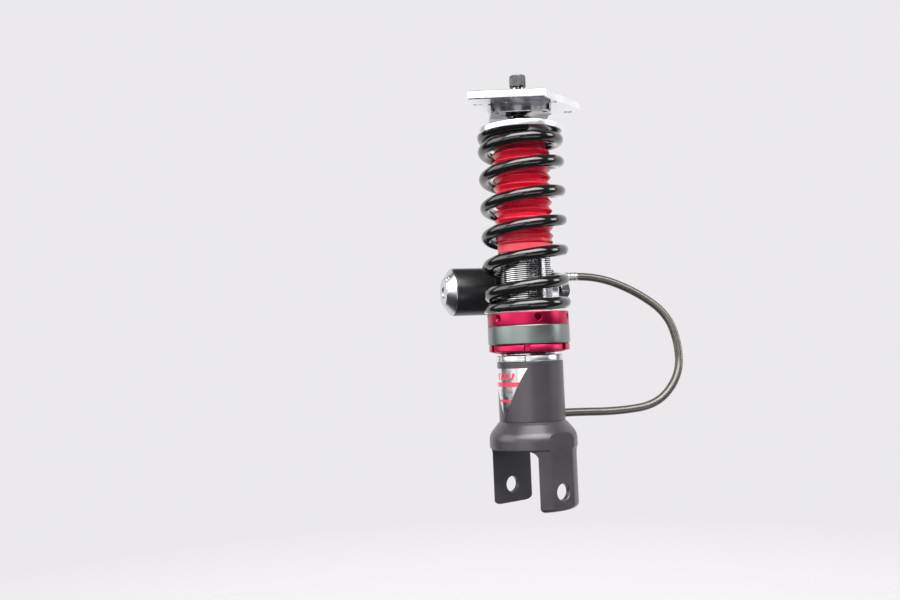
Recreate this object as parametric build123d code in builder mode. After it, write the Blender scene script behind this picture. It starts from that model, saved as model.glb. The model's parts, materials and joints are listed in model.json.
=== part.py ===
"""Rear coilover: monotube damper in a clevis fork, coil spring, pillow-ball top mount, remote reservoir.

Millimetres, +Z up the damper's axis, origin at the centre of the lower clevis bore, bolt along X.
"""
import os
from math import cos, pi, radians, sin

from build123d import *

os.makedirs("parts", exist_ok=True)

# ---- driving dimensions ---------------------------------------------------------------------
fit = 0.05                     # radial play of every running fit

# damper body and rod
body_radius = 26.4             # crest of the 53 x 2 mm thread
body_bore = 23.0
body_bottom = 62.0
body_top = 258.0
thread_pitch = 2.0
thread_depth = 1.1
rod_radius = 7.0
rod_neck_radius = 6.0          # the rod's upper, threaded end
full_stroke = 60.0

# lower fork
fork_tube_radius = 33.5
fork_radius = 44.4
ear_radius = 43.4              # the fork is turned down a little below its crown
fork_flat = 41.1               # outer flats of the ears, from the axis
fork_slot = 35.0               # inner walls of the ears, from the axis
fork_bottom = -18.4
fork_slot_top = 41.4
fork_shoulder = 50.0
fork_groove = 68.0
fork_top = 128.0
flare_low = (40.8, 59.0)       # radius and height of the two ends of the flare's straight cone
flare_high = (35.4, 65.6)
slot_corner = 8.0
ear_corner = 5.0
clevis_radius = 8.1
label_angle = radians(-94.0)  # direction of the foil label's middle
label_half_width = radians(48.5)
label_top = 121.4
label_tip = 72.0
label_foil = 0.2

# rings on the threaded body, from the bottom up
lock_ring_radius = 33.5
fork_ring_top = 134.0
lower_ring_bottom = 136.4
collar_bottom = 145.3
upper_ring_bottom = 164.1
upper_ring_top = 177.0
ring_radius = 41.4
collar_radius = 41.6
hook_slots = 6                 # round the rim of each lock ring
hook_slot_width = 6.0
hook_slot_start = -44.3        # angle of the first one
pin_holes = 6                  # round the upper perch ring
pin_hole_radius = 3.4
pin_hole_start = -27.3
pin_hole_height = 7.4          # above the ring's lower face

# spring, boot and upper seat
wire = 12.0
spring_radius = 38.5           # to the wire's centre
spring_bottom = 178.0
spring_top = 361.0
spring_turns = 7.65
closed_turns = 0.75            # at each end, then eased into the free pitch
ease_turns = 0.9
closed_pitch = 11.7
ground_depth = 2.0             # of the wire's centre past the ground end face
spring_start = 97.7            # angle of the lower wire end
seat_radius = 45.3
seat_top = 367.0
cup_bottom = 238.4
cup_top = 246.3
cup_radius = 27.9
cuff_radius = 27.65
cuff_top = 258.7               # the bellows proper starts here
boot_crest = 29.8
boot_valley = 25.9
boot_wall = 1.2
boot_pitch = 8.6
boot_folds = 10
boot_top = 356.6

# top mount
mount_angle = 53.7             # the mount's long direction, turned about Z from +X
block_bottom = 379.0
block_top = 388.5
plate_top = 397.0
ball_centre = 387.0
ball_radius = 10.0
race_radius = 13.5
rod_top = 411.0
knob_top = 423.5
camber_in = 6.0                # camber travel each way of the plate over the block
camber_out = 10.0
stud_radius = 4.25             # clearance hole for an M8 stud
plate_centre = (5.0, -4.0)
stud_offset = (48.5, 20.5)     # of each stud hole from the plate's centre
block_screws = [(-24.0, -22.5), (24.0, -22.5), (24.0, 22.5), (-6.0, 22.5)]
mount_screw_radius = 2.5

# remote reservoir, its axis level, on the fork's back
side_angle = 158.7             # direction of the reservoir from the damper's axis
reservoir_offset = 76.0
reservoir_height = 205.0
reservoir_radius = 26.0
reservoir_bore = 23.5
tube_cap_end = -59.0           # places along the reservoir's axis
tube_head_end = 45.0
head_end = 57.0
port_height = 14.7             # hose port above the reservoir's axis
fill_height = 14.0             # gas fill screw above the reservoir's axis
fill_inward = 11.0             # and towards the damper
fill_radius = 2.5
hose_start = 89.0
clamp_places = (-11.0, 15.0)
clamp_screw_height = 169.0
bracket_screw_height = 106.5   # middle of the pair
bracket_screws_at = [(0, -9), (0, 9)]
bracket_screw_radius = 3.0
clamp_screw_radius = 2.5

# oil port and hose
port_z = 70.0
oil_bolt_radius = 5.0          # M10 banjo bolt
drilling_radius = 3.0          # oil way in the base plug
banjo_offset = 41.5            # centre of the banjo's eye from the damper's axis
banjo_half = 4.0
crush_washer = 1.5
neck_start = 6.0               # along the hose, from the banjo's centre
ferrule_start = 16.0
hose_end = 30.0
hose_radius = 4.5
hose_route = [
    (-38.48, 110.53, 219.7), (-29.18, 134.38, 219.7), (-4.8, 169.9, 201.0), (18.0, 195.2, 174.0),
    (28.5, 199.6, 139.0), (33.5, 192.2, 104.0), (25.3, 163.9, 73.0), (5.0, 119.7, 68.0),
    (-15.42, 74.7, 70.0), (-27.77, 43.03, 70.0),
]

# seals: O-rings in grooves on the round plugs
o_ring_section = 1.15
groove_depth = 2.4
groove_width = 2.6

# ---- directions and planes worked out from them ----------------------------------------------
outward = Vector(cos(radians(side_angle)), sin(radians(side_angle)), 0)
along = Vector(sin(radians(side_angle)), -cos(radians(side_angle)), 0)
up = Vector(0, 0, 1)
banjo_seat = banjo_offset - banjo_half - crush_washer   # machined face that the banjo is clamped to


def on_reservoir(place, height=0.0, inward=0.0):
    """Plane across the reservoir's axis at a place along it, X up, Z towards the head."""
    origin = outward * (reservoir_offset - inward) + along * place + up * (reservoir_height + height)
    return Plane(origin=origin, x_dir=up, z_dir=along)


def facing_out(distance, height):
    """Upright plane that faces outward from the damper's axis on the reservoir's side, Y up."""
    return Plane(origin=outward * distance + up * height, x_dir=-along, z_dir=outward)


def mount_plane(height):
    """Level plane of the top mount, X along its long direction."""
    angle = radians(mount_angle)
    return Plane(origin=(0, 0, height), x_dir=(cos(angle), sin(angle), 0), z_dir=(0, 0, 1))


def finish(piece, label):
    """Name a finished piece and write it."""
    piece.part.label = label
    export_step(piece.part, f"parts/{label}.step")


def make_ring(label, inner, outer, bottom, top, bevel=0.0, plane=Plane.XY):
    """A plain ring, or a disc if inner is zero, along the plane's normal."""
    with BuildPart() as ring:
        with BuildSketch(plane.offset(bottom)):
            Circle(outer)
            if inner:
                Circle(inner, mode=Mode.SUBTRACT)
        extrude(amount=top - bottom)
        if bevel:
            rims = ring.edges().filter_by(GeomType.CIRCLE).group_by(SortBy.RADIUS)[-1]
            chamfer(rims, bevel)
    finish(ring, label)


def make_o_ring(label, centre_radius, section_radius, plane):
    """A round-section ring about the plane's normal."""
    with BuildPart() as o_ring:
        with BuildSketch(Plane(plane.origin, x_dir=plane.x_dir, z_dir=-plane.y_dir)):
            with Locations((centre_radius, 0)):
                Circle(section_radius)
        revolve(axis=Axis(plane.origin, plane.z_dir))
    finish(o_ring, label)


# ---- lower fork ------------------------------------------------------------------------------
with BuildPart() as lower_fork:
    with BuildSketch(Plane.XZ):
        with BuildLine():
            Line((0, fork_bottom), (ear_radius - ear_corner, fork_bottom))
            ThreePointArc((ear_radius - ear_corner, fork_bottom),
                          (ear_radius - 0.293 * ear_corner, fork_bottom + 0.293 * ear_corner),
                          (ear_radius, fork_bottom + ear_corner))
            Polyline((ear_radius, fork_bottom + ear_corner), (ear_radius, fork_slot_top - 1),
                     (fork_radius, fork_slot_top + 1), (fork_radius, fork_shoulder))
            ThreePointArc((fork_radius, fork_shoulder), (fork_radius - 0.9, fork_shoulder + 4.6), flare_low)
            Line(flare_low, flare_high)
            ThreePointArc(flare_high, (fork_tube_radius + 0.8, fork_groove - 1.4),
                          (fork_tube_radius, fork_groove - 0.6))
            Polyline((fork_tube_radius, fork_groove - 0.6), (fork_tube_radius - 0.6, fork_groove),
                     (fork_tube_radius, fork_groove + 0.6), (fork_tube_radius, fork_top - 0.8),
                     (fork_tube_radius - 0.8, fork_top), (0, fork_top), (0, fork_bottom))
        make_face()
    revolve(axis=Axis.Z)
    # outer flats, side by side with the slot between the ears
    for side in (-1, 1):
        with BuildSketch(Plane.YZ.offset(side * fork_flat)):
            with Locations((0, 20)):
                Rectangle(120, 90)
        extrude(amount=side * 20, mode=Mode.SUBTRACT)
    with BuildSketch(Plane.XZ.offset(-60)):
        with Locations((0, fork_slot_top)):
            Rectangle(2 * fork_slot, 2 * (fork_slot_top - fork_bottom), align=(Align.CENTER, Align.MAX))
    extrude(amount=120, mode=Mode.SUBTRACT)
    slot_corners = (lower_fork.edges().filter_by(Axis.Y)
                    .filter_by_position(Axis.Z, fork_slot_top - 0.1, fork_slot_top + 0.1))
    fillet(slot_corners, slot_corner)
    # bore for the damper body
    with BuildSketch(Plane.XY.offset(body_bottom)):
        Circle(body_radius + fit)
    extrude(amount=fork_top - body_bottom + 1, mode=Mode.SUBTRACT)
    # clevis bore
    with BuildSketch(Plane.YZ.offset(-60)):
        Circle(clevis_radius)
    extrude(amount=120, mode=Mode.SUBTRACT)
    clevis_rims = (lower_fork.edges().filter_by(GeomType.CIRCLE)
                   .filter_by(lambda edge: abs(edge.radius - clevis_radius) < 0.01))
    chamfer(clevis_rims, 0.8)
    # round boss and spot face for the oil port, with its drilling
    with BuildSketch(facing_out(28.0, port_z)):
        Circle(10.0)
    extrude(amount=banjo_seat - 28.0)
    with BuildSketch(facing_out(banjo_seat, port_z)):
        Circle(11.5)
    extrude(amount=12, mode=Mode.SUBTRACT)
    with BuildSketch(facing_out(15.0, port_z)):
        Circle(oil_bolt_radius + fit)
    extrude(amount=30, mode=Mode.SUBTRACT)
    with BuildSketch(Plane.XY.offset(body_bottom)):
        Circle(body_radius + fit)
    extrude(amount=fork_top - body_bottom + 1, mode=Mode.SUBTRACT)
    # flat seat for the reservoir bracket, with two tapped holes
    with BuildSketch(facing_out(32.0, 110.0)):
        Rectangle(24, 40)
    extrude(amount=10, mode=Mode.SUBTRACT)
    with BuildSketch(facing_out(24.0, bracket_screw_height)):
        with Locations(*bracket_screws_at):
            Circle(bracket_screw_radius)
    extrude(amount=12, mode=Mode.SUBTRACT)
finish(lower_fork, "lower_fork")

# foil label: an inverted triangle wrapped on the fork's tube
label_width = 2 * fork_tube_radius * sin(label_half_width)
label_plane = Plane(origin=(0, 0, 0), x_dir=(-sin(label_angle), cos(label_angle), 0),
                    z_dir=(cos(label_angle), sin(label_angle), 0))
with BuildPart() as label:
    with BuildSketch(Plane.XY.offset(label_tip)):
        Circle(fork_tube_radius + label_foil)
        Circle(fork_tube_radius, mode=Mode.SUBTRACT)
    extrude(amount=label_top - label_tip)
    with BuildSketch(label_plane):
        with BuildLine():
            Polyline((-label_width / 2, label_top), (label_width / 2, label_top),
                     (1.0, label_tip), (-1.0, label_tip), close=True)
        make_face()
    extrude(amount=60, mode=Mode.INTERSECT)
finish(label, "label")

# ---- rings on the threaded body ---------------------------------------------------------------
ring_bore = body_radius + fit


def make_hook_ring(label, outer, bottom, top, slot_depth, low_bevel, high_bevel):
    """A lock ring with hook-spanner slots round its rim; a bevel is its (width, height)."""
    with BuildPart() as ring:
        with BuildSketch(Plane.XZ):
            with BuildLine():
                Polyline((ring_bore, bottom), (outer - low_bevel[0], bottom), (outer, bottom + low_bevel[1]),
                         (outer, top - high_bevel[1]), (outer - high_bevel[0], top), (ring_bore, top),
                         close=True)
            make_face()
        revolve(axis=Axis.Z)
        with BuildSketch(Plane.XY.offset(bottom - 1)):
            with PolarLocations(outer, hook_slots, start_angle=hook_slot_start):
                Rectangle(2 * slot_depth, hook_slot_width)
        extrude(amount=top - bottom + 2, mode=Mode.SUBTRACT)
    finish(ring, label)


make_hook_ring("fork_lock_ring", lock_ring_radius, fork_top, fork_ring_top, 2.2, (0.6, 0.6), (0.4, 0.4))
make_hook_ring("lower_lock_ring", ring_radius - 0.4, lower_ring_bottom, collar_bottom, 3.2, (7.5, 2.0),
               (1.0, 1.6))

with BuildPart() as spring_collar:
    with BuildSketch(Plane.XY.offset(collar_bottom)):
        Circle(collar_radius)
        Circle(ring_bore, mode=Mode.SUBTRACT)
    extrude(amount=upper_ring_bottom - collar_bottom)
    outer_rims = spring_collar.edges().filter_by(GeomType.CIRCLE).group_by(SortBy.RADIUS)[-1]
    chamfer(outer_rims, 0.9)
finish(spring_collar, "spring_collar")

with BuildPart() as upper_perch_ring:
    with BuildSketch(Plane.XY.offset(upper_ring_bottom)):
        Circle(ring_radius)
        Circle(ring_bore, mode=Mode.SUBTRACT)
    extrude(amount=upper_ring_top - upper_ring_bottom)
    outer_rims = upper_perch_ring.edges().filter_by(GeomType.CIRCLE).group_by(SortBy.RADIUS)[-1]
    chamfer(outer_rims, 0.9)
    # groove under the top flange, and radial holes for a pin spanner
    groove_height = upper_ring_top - 3.4
    with BuildSketch(Plane.XY.offset(groove_height)):
        Circle(ring_radius + 1)
        Circle(ring_radius - 0.8, mode=Mode.SUBTRACT)
    extrude(amount=0.9, mode=Mode.SUBTRACT)
    for step in range(pin_holes):
        angle = radians(pin_hole_start + 360 / pin_holes * step)
        hole_plane = Plane(origin=(32 * cos(angle), 32 * sin(angle), upper_ring_bottom + pin_hole_height),
                           z_dir=(cos(angle), sin(angle), 0))
        with BuildSketch(hole_plane):
            Circle(pin_hole_radius)
        extrude(amount=12, mode=Mode.SUBTRACT)
finish(upper_perch_ring, "upper_perch_ring")

make_ring("spring_washer", 33.0, 41.0, upper_ring_top, spring_bottom)

# ---- coil spring: closed and ground at both ends, right-handed ----------------------------------
tip_height = spring_bottom - ground_depth
total_rise = spring_top - spring_bottom + 2 * ground_depth
extra_pitch = (total_rise - closed_pitch * spring_turns) / (spring_turns - 2 * closed_turns - ease_turns)


def wire_height(turn):
    """Height of the wire's centre: closed at the ends, even between, eased from one to the other."""
    if turn > spring_turns / 2:
        return spring_bottom + spring_top - wire_height(spring_turns - turn)
    eased = min(max(turn - closed_turns, 0), ease_turns)
    free = max(turn - closed_turns - ease_turns, 0)
    return tip_height + closed_pitch * turn + extra_pitch * (eased ** 2 / (2 * ease_turns) + free)


wire_steps = 92
wire_points = []
for step in range(wire_steps + 1):
    turn = spring_turns * step / wire_steps
    angle = radians(spring_start + 360 * turn)
    wire_points.append((spring_radius * cos(angle), spring_radius * sin(angle), wire_height(turn)))
with BuildPart() as coil_spring:
    with BuildLine() as wire_path:
        Spline(*wire_points)
    with BuildSketch(Plane(origin=wire_path.wire() @ 0, z_dir=wire_path.wire() % 0)):
        Circle(wire / 2)
    sweep(path=wire_path.wire(), is_frenet=True)
    for face_height, away in ((spring_bottom, -1), (spring_top, 1)):
        with BuildSketch(Plane.XY.offset(face_height)):
            Rectangle(120, 120)
        extrude(amount=away * 20, mode=Mode.SUBTRACT)
finish(coil_spring, "coil_spring")

# ---- damper body ------------------------------------------------------------------------------
with BuildPart() as damper_tube:
    with BuildSketch(Plane.XY.offset(body_bottom)):
        Circle(body_radius)
        Circle(body_bore, mode=Mode.SUBTRACT)
    extrude(amount=body_top - body_bottom)
    top_rim = (damper_tube.edges().filter_by(GeomType.CIRCLE).group_by(Axis.Z)[-1]
               .filter_by(lambda edge: edge.radius > body_bore + 1))
    chamfer(top_rim, 1.0)
    # thread grooves, on the stretch that the rings use
    with BuildSketch(Plane.XZ):
        with GridLocations(thread_pitch, thread_pitch, 1, 55):
            with Locations((body_radius, 182.0)):
                Polygon((0.4, -0.9), (0.4, 0.9), (-thread_depth, 0.1), (-thread_depth, -0.1), align=None)
    revolve(axis=Axis.Z, mode=Mode.SUBTRACT)
    with BuildSketch(facing_out(15.0, port_z)):
        Circle(oil_bolt_radius + fit)
    extrude(amount=15, mode=Mode.SUBTRACT)
finish(damper_tube, "damper_tube")

with BuildPart() as base_plug:
    with BuildSketch(Plane.XY.offset(body_bottom)):
        Circle(body_bore - fit)
    extrude(amount=18)
    with BuildSketch(facing_out(0, port_z)):
        Circle(drilling_radius)
    extrude(amount=30, mode=Mode.SUBTRACT)
    with BuildSketch(Plane.XY.offset(port_z)):
        Circle(drilling_radius)
    extrude(amount=20, mode=Mode.SUBTRACT)
    with BuildSketch(Plane.XY.offset(body_bottom + 14)):
        Circle(body_bore + 1)
        Circle(body_bore - groove_depth, mode=Mode.SUBTRACT)
    extrude(amount=groove_width, mode=Mode.SUBTRACT)
finish(base_plug, "base_plug")
make_o_ring("base_plug_o_ring", body_bore - o_ring_section - 0.1, o_ring_section,
            Plane.XY.offset(body_bottom + 14 + groove_width / 2))

seal_head_bottom = 238.0
head_groove = 243.0
seal_seat = 248.0
seal_seat_radius = 12.0
with BuildPart() as seal_head:
    with BuildSketch(Plane.XY.offset(seal_head_bottom)):
        Circle(body_bore - fit)
        Circle(rod_radius + 1.55, mode=Mode.SUBTRACT)
    extrude(amount=body_top - seal_head_bottom)
    with BuildSketch(Plane.XY.offset(seal_seat)):
        Circle(seal_seat_radius)
    extrude(amount=body_top - seal_seat, mode=Mode.SUBTRACT)
    with BuildSketch(Plane.XY.offset(head_groove)):
        Circle(body_bore + 1)
        Circle(body_bore - groove_depth, mode=Mode.SUBTRACT)
    extrude(amount=groove_width, mode=Mode.SUBTRACT)
finish(seal_head, "seal_head")
make_o_ring("seal_head_o_ring", body_bore - o_ring_section - 0.1, o_ring_section,
            Plane.XY.offset(head_groove + groove_width / 2))
make_ring("rod_guide_bush", rod_radius + fit, rod_radius + 1.5, seal_head_bottom + 1, seal_seat - 1)
make_ring("rod_seal", rod_radius + fit, seal_seat_radius - fit, seal_seat, seal_seat + 5)
make_ring("rod_wiper", rod_radius + fit, seal_seat_radius - fit, seal_seat + 5.3, body_top, bevel=0.8)

# foot of the bellows: a plain band, then a ribbed cuff over the rim of the body
with BuildPart() as boot_cup:
    with BuildSketch(Plane.XZ):
        with BuildLine():
            Polyline((body_radius + fit, cup_bottom), (cup_radius - 0.6, cup_bottom), (cup_radius, cup_bottom + 0.6),
                     (cup_radius, cup_top - 0.3), (cuff_radius, cup_top), (cuff_radius, cup_top + 0.8),
                     (cuff_radius + 1.4, cup_top + 1.6), (cuff_radius + 1.4, cup_top + 2.9),
                     (cuff_radius, cup_top + 3.9), (cuff_radius, cup_top + 5.0), (boot_crest, cuff_top - 4.9),
                     (boot_crest, cuff_top - 2.5), (boot_valley, cuff_top), (boot_valley - boot_wall, cuff_top),
                     (body_radius - 0.95, body_top + fit), (body_radius + fit, body_top - 0.95), close=True)
        make_face()
    revolve(axis=Axis.Z)
finish(boot_cup, "boot_cup")

# bellows: flat-topped crests and valleys, one profile line repeated inward by the wall
with BuildPart() as dust_boot:
    with BuildSketch(Plane.XZ):
        with BuildLine():
            outer_points = [(boot_valley, cuff_top)]
            for fold in range(boot_folds):
                crest = cuff_top + 4.9 + fold * boot_pitch
                outer_points += [(boot_valley, crest - 3.7), (boot_crest, crest - 1.2),
                                 (boot_crest, crest + 1.2), (boot_valley, crest + 3.7)]
            outer_points += [(boot_valley, boot_top)]
            inner_points = [(x - boot_wall, z) for x, z in reversed(outer_points)]
            Polyline(*outer_points, *inner_points, close=True)
        make_face()
    revolve(axis=Axis.Z)
finish(dust_boot, "dust_boot")

# ---- rod group --------------------------------------------------------------------------------
piston_bottom = 182.0
piston_top = 194.0
rod_bottom = 168.0
tail_radius = 5.0              # the rod's lower end, that carries the piston
push_rod_radius = 2.0
neck_bottom = seat_top - 8     # shoulder that the upper seat sits on
with BuildPart() as piston_rod:
    with BuildSketch(Plane.XY.offset(rod_bottom)):
        Circle(tail_radius)
    extrude(amount=piston_top + 4 - rod_bottom)
    with BuildSketch(Plane.XY.offset(piston_top + 4)):
        Circle(rod_radius)
    extrude(amount=neck_bottom - piston_top - 4)
    with BuildSketch(Plane.XY.offset(neck_bottom)):
        Circle(rod_neck_radius)
    extrude(amount=rod_top - neck_bottom)
    top_rim = piston_rod.edges().filter_by(GeomType.CIRCLE).sort_by(Axis.Z)[-1:]
    chamfer(top_rim, 0.8)
    # bore for the rebound adjuster's push rod
    with BuildSketch(Plane.XY.offset(rod_bottom + 6)):
        Circle(push_rod_radius + fit)
    extrude(amount=rod_top, mode=Mode.SUBTRACT)
finish(piston_rod, "piston_rod")
make_ring("adjuster_push_rod", 0, push_rod_radius, rod_bottom + 8, rod_top - 1)

with BuildPart() as piston:
    with BuildSketch(Plane.XY.offset(piston_bottom)):
        Circle(body_bore - 1.3)
        Circle(tail_radius + fit, mode=Mode.SUBTRACT)
        with PolarLocations(13, 6):
            Circle(3.0, mode=Mode.SUBTRACT)
    extrude(amount=piston_top - piston_bottom)
finish(piston, "piston")
make_ring("piston_band", body_bore - 1.25, body_bore - fit, piston_bottom + 1.5, piston_top - 1.5)


def make_shims(label, first_height, direction):
    """A stack of thin discs that get smaller away from the piston."""
    with BuildPart() as shims:
        for index, radius in enumerate((16.5, 15.0, 13.0, 10.5)):
            with BuildSketch(Plane.XY.offset(first_height + direction * index)):
                Circle(radius)
                Circle(tail_radius + fit, mode=Mode.SUBTRACT)
            extrude(amount=direction * 0.9)
    finish(shims, label)


make_shims("compression_shims", piston_top, 1)
make_shims("rebound_shims", piston_bottom, -1)

with BuildPart() as piston_nut:
    with BuildSketch(Plane.XY.offset(rod_bottom + 1)):
        RegularPolygon(8.5, 6, major_radius=False)
        Circle(tail_radius + fit, mode=Mode.SUBTRACT)
    extrude(amount=8)
finish(piston_nut, "piston_nut")
make_ring("rebound_stop", rod_radius, 14.0, 214, 220, bevel=1.0)

with BuildPart() as bump_stop:
    with BuildSketch(Plane.XZ):
        with BuildLine():
            bottom = body_top + full_stroke + 0.3
            top = 354.6
            Polyline((rod_radius + 0.3, bottom), (11.0, bottom), (14.0, bottom + 6), (12.5, bottom + 9),
                     (18.0, bottom + 14), (16.0, bottom + 18), (19.5, bottom + 23), (19.5, top),
                     (rod_radius + 0.3, top), close=True)
        make_face()
    revolve(axis=Axis.Z)
finish(bump_stop, "bump_stop")

with BuildPart() as upper_spring_seat:
    with BuildSketch(Plane.XY.offset(spring_top)):
        Circle(seat_radius)
    extrude(amount=seat_top - spring_top)
    flange_rims = upper_spring_seat.edges().filter_by(GeomType.CIRCLE).group_by(SortBy.RADIUS)[-1]
    chamfer(flange_rims, 0.8)
    with BuildSketch(Plane.XY.offset(spring_top)):
        Circle(31.8)
    extrude(amount=-4)
    # hollow spigot that the boot's neck slides on
    with BuildSketch(Plane.XY.offset(spring_top - 4)):
        Circle(boot_valley - boot_wall - 0.4)
    extrude(amount=-10)
    with BuildSketch(Plane.XY.offset(spring_top - 14)):
        Circle(20.5)
    extrude(amount=7.6, mode=Mode.SUBTRACT)
    with BuildSketch(Plane.XY.offset(neck_bottom)):
        Circle(rod_neck_radius + fit)
    extrude(amount=10, mode=Mode.SUBTRACT)
    with BuildSketch(Plane.XY.offset(spring_top - 20)):
        Circle(rod_radius + fit)
    extrude(amount=neck_bottom - spring_top + 20, mode=Mode.SUBTRACT)
finish(upper_spring_seat, "upper_spring_seat")

ball_half = 7.5
seat_nut_height = 9.0
with BuildPart() as seat_nut:
    with BuildSketch(Plane.XY.offset(seat_top)):
        RegularPolygon(12.5, 6, rotation=mount_angle, major_radius=False)
    extrude(amount=seat_nut_height)
    with BuildSketch(Plane.XY.offset(seat_top + seat_nut_height)):
        Circle(8.2)
    extrude(amount=ball_centre - ball_half - seat_top - seat_nut_height)
    with BuildSketch(Plane.XY.offset(seat_top)):
        Circle(rod_neck_radius + fit)
    extrude(amount=30, mode=Mode.SUBTRACT)
finish(seat_nut, "seat_nut")

# ---- pillow ball top mount ----------------------------------------------------------------------
liner_wall = 0.5
race_half = 5.0
with BuildPart() as pillow_ball:
    with BuildSketch(Plane.XZ):
        with Locations((0, ball_centre)):
            Circle(ball_radius)
        with Locations((0, ball_centre)):
            Rectangle(4 * ball_radius, 2 * ball_half, mode=Mode.INTERSECT)
        with Locations((rod_neck_radius + fit, ball_centre)):
            Rectangle(4 * ball_radius, 4 * ball_radius, align=(Align.MAX, Align.CENTER), mode=Mode.SUBTRACT)
    revolve(axis=Axis.Z)
finish(pillow_ball, "pillow_ball")


def make_shell(label, inner, outer, half_width, outer_is_round):
    """A bearing shell about the ball: spherical inside, spherical or cylindrical outside."""
    with BuildPart() as shell:
        with BuildSketch(Plane.XZ):
            with Locations((0, ball_centre)):
                if outer_is_round:
                    Circle(outer)
                    Rectangle(4 * outer, 2 * half_width, mode=Mode.INTERSECT)
                else:
                    Rectangle(2 * outer, 2 * half_width)
                Circle(inner, mode=Mode.SUBTRACT)
            with Locations((0, ball_centre)):
                Rectangle(4 * outer, 4 * outer, align=(Align.MAX, Align.CENTER), mode=Mode.SUBTRACT)
        revolve(axis=Axis.Z)
    finish(shell, label)


make_shell("bearing_liner", ball_radius + fit, ball_radius + liner_wall, 4.6, True)
make_shell("bearing_race", ball_radius + liner_wall + fit, race_radius, race_half, False)

with BuildPart() as bearing_block:
    with BuildSketch(mount_plane(block_bottom)):
        RectangleRounded(61, 55, 3)
    extrude(amount=block_top - block_bottom)
    chamfer(bearing_block.faces().sort_by(Axis.Z)[0].edges(), 0.8)
    with BuildSketch(Plane.XY.offset(block_top)):
        Circle(15.6)
    extrude(amount=5.5)
    with BuildSketch(Plane.XY.offset(ball_centre - race_half)):
        Circle(race_radius)
    extrude(amount=20, mode=Mode.SUBTRACT)
    with BuildSketch(Plane.XY.offset(block_bottom)):
        Circle(12.0)
    extrude(amount=5, mode=Mode.SUBTRACT)
    with BuildSketch(mount_plane(block_bottom)):
        with Locations(*block_screws):
            Circle(mount_screw_radius)
    extrude(amount=20, mode=Mode.SUBTRACT)
finish(bearing_block, "bearing_block")
circlip_bottom = ball_centre + race_half
make_ring("race_circlip", race_radius - 1.6, race_radius, circlip_bottom, circlip_bottom + 1.2)

plate_outline = [(61.0, 18.5), (58.5, 39.5), (-17.5, 40.0), (-61.0, -18.5), (-58.5, -39.5), (17.5, -40.0)]
slot_shift = (camber_out - camber_in) / 2            # the slots' middles, from the screws
slot_travel = camber_out + camber_in
with BuildPart() as top_plate:
    with BuildSketch(mount_plane(block_top)) as outline:
        with Locations(plate_centre):
            Polygon(*plate_outline, align=None)
        fillet(outline.vertices(), 2.5)
        with Locations((slot_shift, 0)):
            SlotCenterToCenter(slot_travel, 2 * 16.1, mode=Mode.SUBTRACT)
        with Locations(*[(x + slot_shift, y) for x, y in block_screws]):
            SlotCenterToCenter(slot_travel, 2 * 2.8, mode=Mode.SUBTRACT)
        with Locations(*[(plate_centre[0] + side * stud_offset[0], plate_centre[1] + side * stud_offset[1])
                         for side in (-1, 1)]):
            Circle(stud_radius, mode=Mode.SUBTRACT)
    extrude(amount=plate_top - block_top)
    chamfer(top_plate.faces().sort_by(Axis.Z)[-1].outer_wire().edges(), 0.8)
    chamfer(top_plate.faces().sort_by(Axis.Z)[0].outer_wire().edges(), 0.8)
finish(top_plate, "top_plate")

with BuildPart() as mount_screws:
    with BuildSketch(mount_plane(block_bottom + 0.5)):
        with Locations(*block_screws):
            Circle(mount_screw_radius)
    extrude(amount=plate_top - block_bottom - 0.5)
    with BuildSketch(mount_plane(plate_top)):
        with Locations(*block_screws):
            Circle(4.75)
    extrude(amount=2.8)
    head_rims = mount_screws.edges().filter_by(GeomType.CIRCLE).group_by(Axis.Z)[-1]
    fillet(head_rims, 1.2)
    with BuildSketch(mount_plane(plate_top + 1.2)):
        with Locations(*block_screws):
            RegularPolygon(1.5, 6, major_radius=False)
    extrude(amount=3, mode=Mode.SUBTRACT)
finish(mount_screws, "mount_screws")

washer_bottom = ball_centre + ball_half
washer_top = washer_bottom + 1.6
make_ring("rod_washer", rod_neck_radius + fit, 9.8, washer_bottom, washer_top, bevel=0.3)
with BuildPart() as rod_nut:
    with BuildSketch(Plane.XY.offset(washer_top)):
        RegularPolygon(9.0, 6, rotation=19.7, major_radius=False)
        Circle(rod_neck_radius + fit, mode=Mode.SUBTRACT)
    extrude(amount=9.5)
finish(rod_nut, "rod_nut")


def make_knob(label, plane, radius, length, grips):
    """A knurled adjuster knob: fine flutes round the rim, a bevelled end and a hex socket."""
    with BuildPart() as knob:
        with BuildSketch(plane):
            Circle(radius)
        extrude(amount=length)
        chamfer(knob.faces().sort_by(Axis(plane.origin, plane.z_dir))[-1].edges(), 0.8)
        with BuildSketch(plane.offset(2)):
            with PolarLocations(radius + 0.25, grips):
                Circle(0.6)
        extrude(amount=length - 4, mode=Mode.SUBTRACT)
        with BuildSketch(plane.offset(length - 3)):
            RegularPolygon(2.5, 6, major_radius=False)
        extrude(amount=4, mode=Mode.SUBTRACT)
    finish(knob, label)


knob_bottom = rod_top + 0.4
knob_flutes = 24
make_knob("rebound_knob", Plane.XY.offset(knob_bottom), 8.5, knob_top - knob_bottom, knob_flutes)

# ---- remote reservoir -----------------------------------------------------------------------------
reservoir = on_reservoir(0)
make_ring("reservoir_tube", reservoir_bore, reservoir_radius, tube_cap_end, tube_head_end, plane=reservoir)

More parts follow.
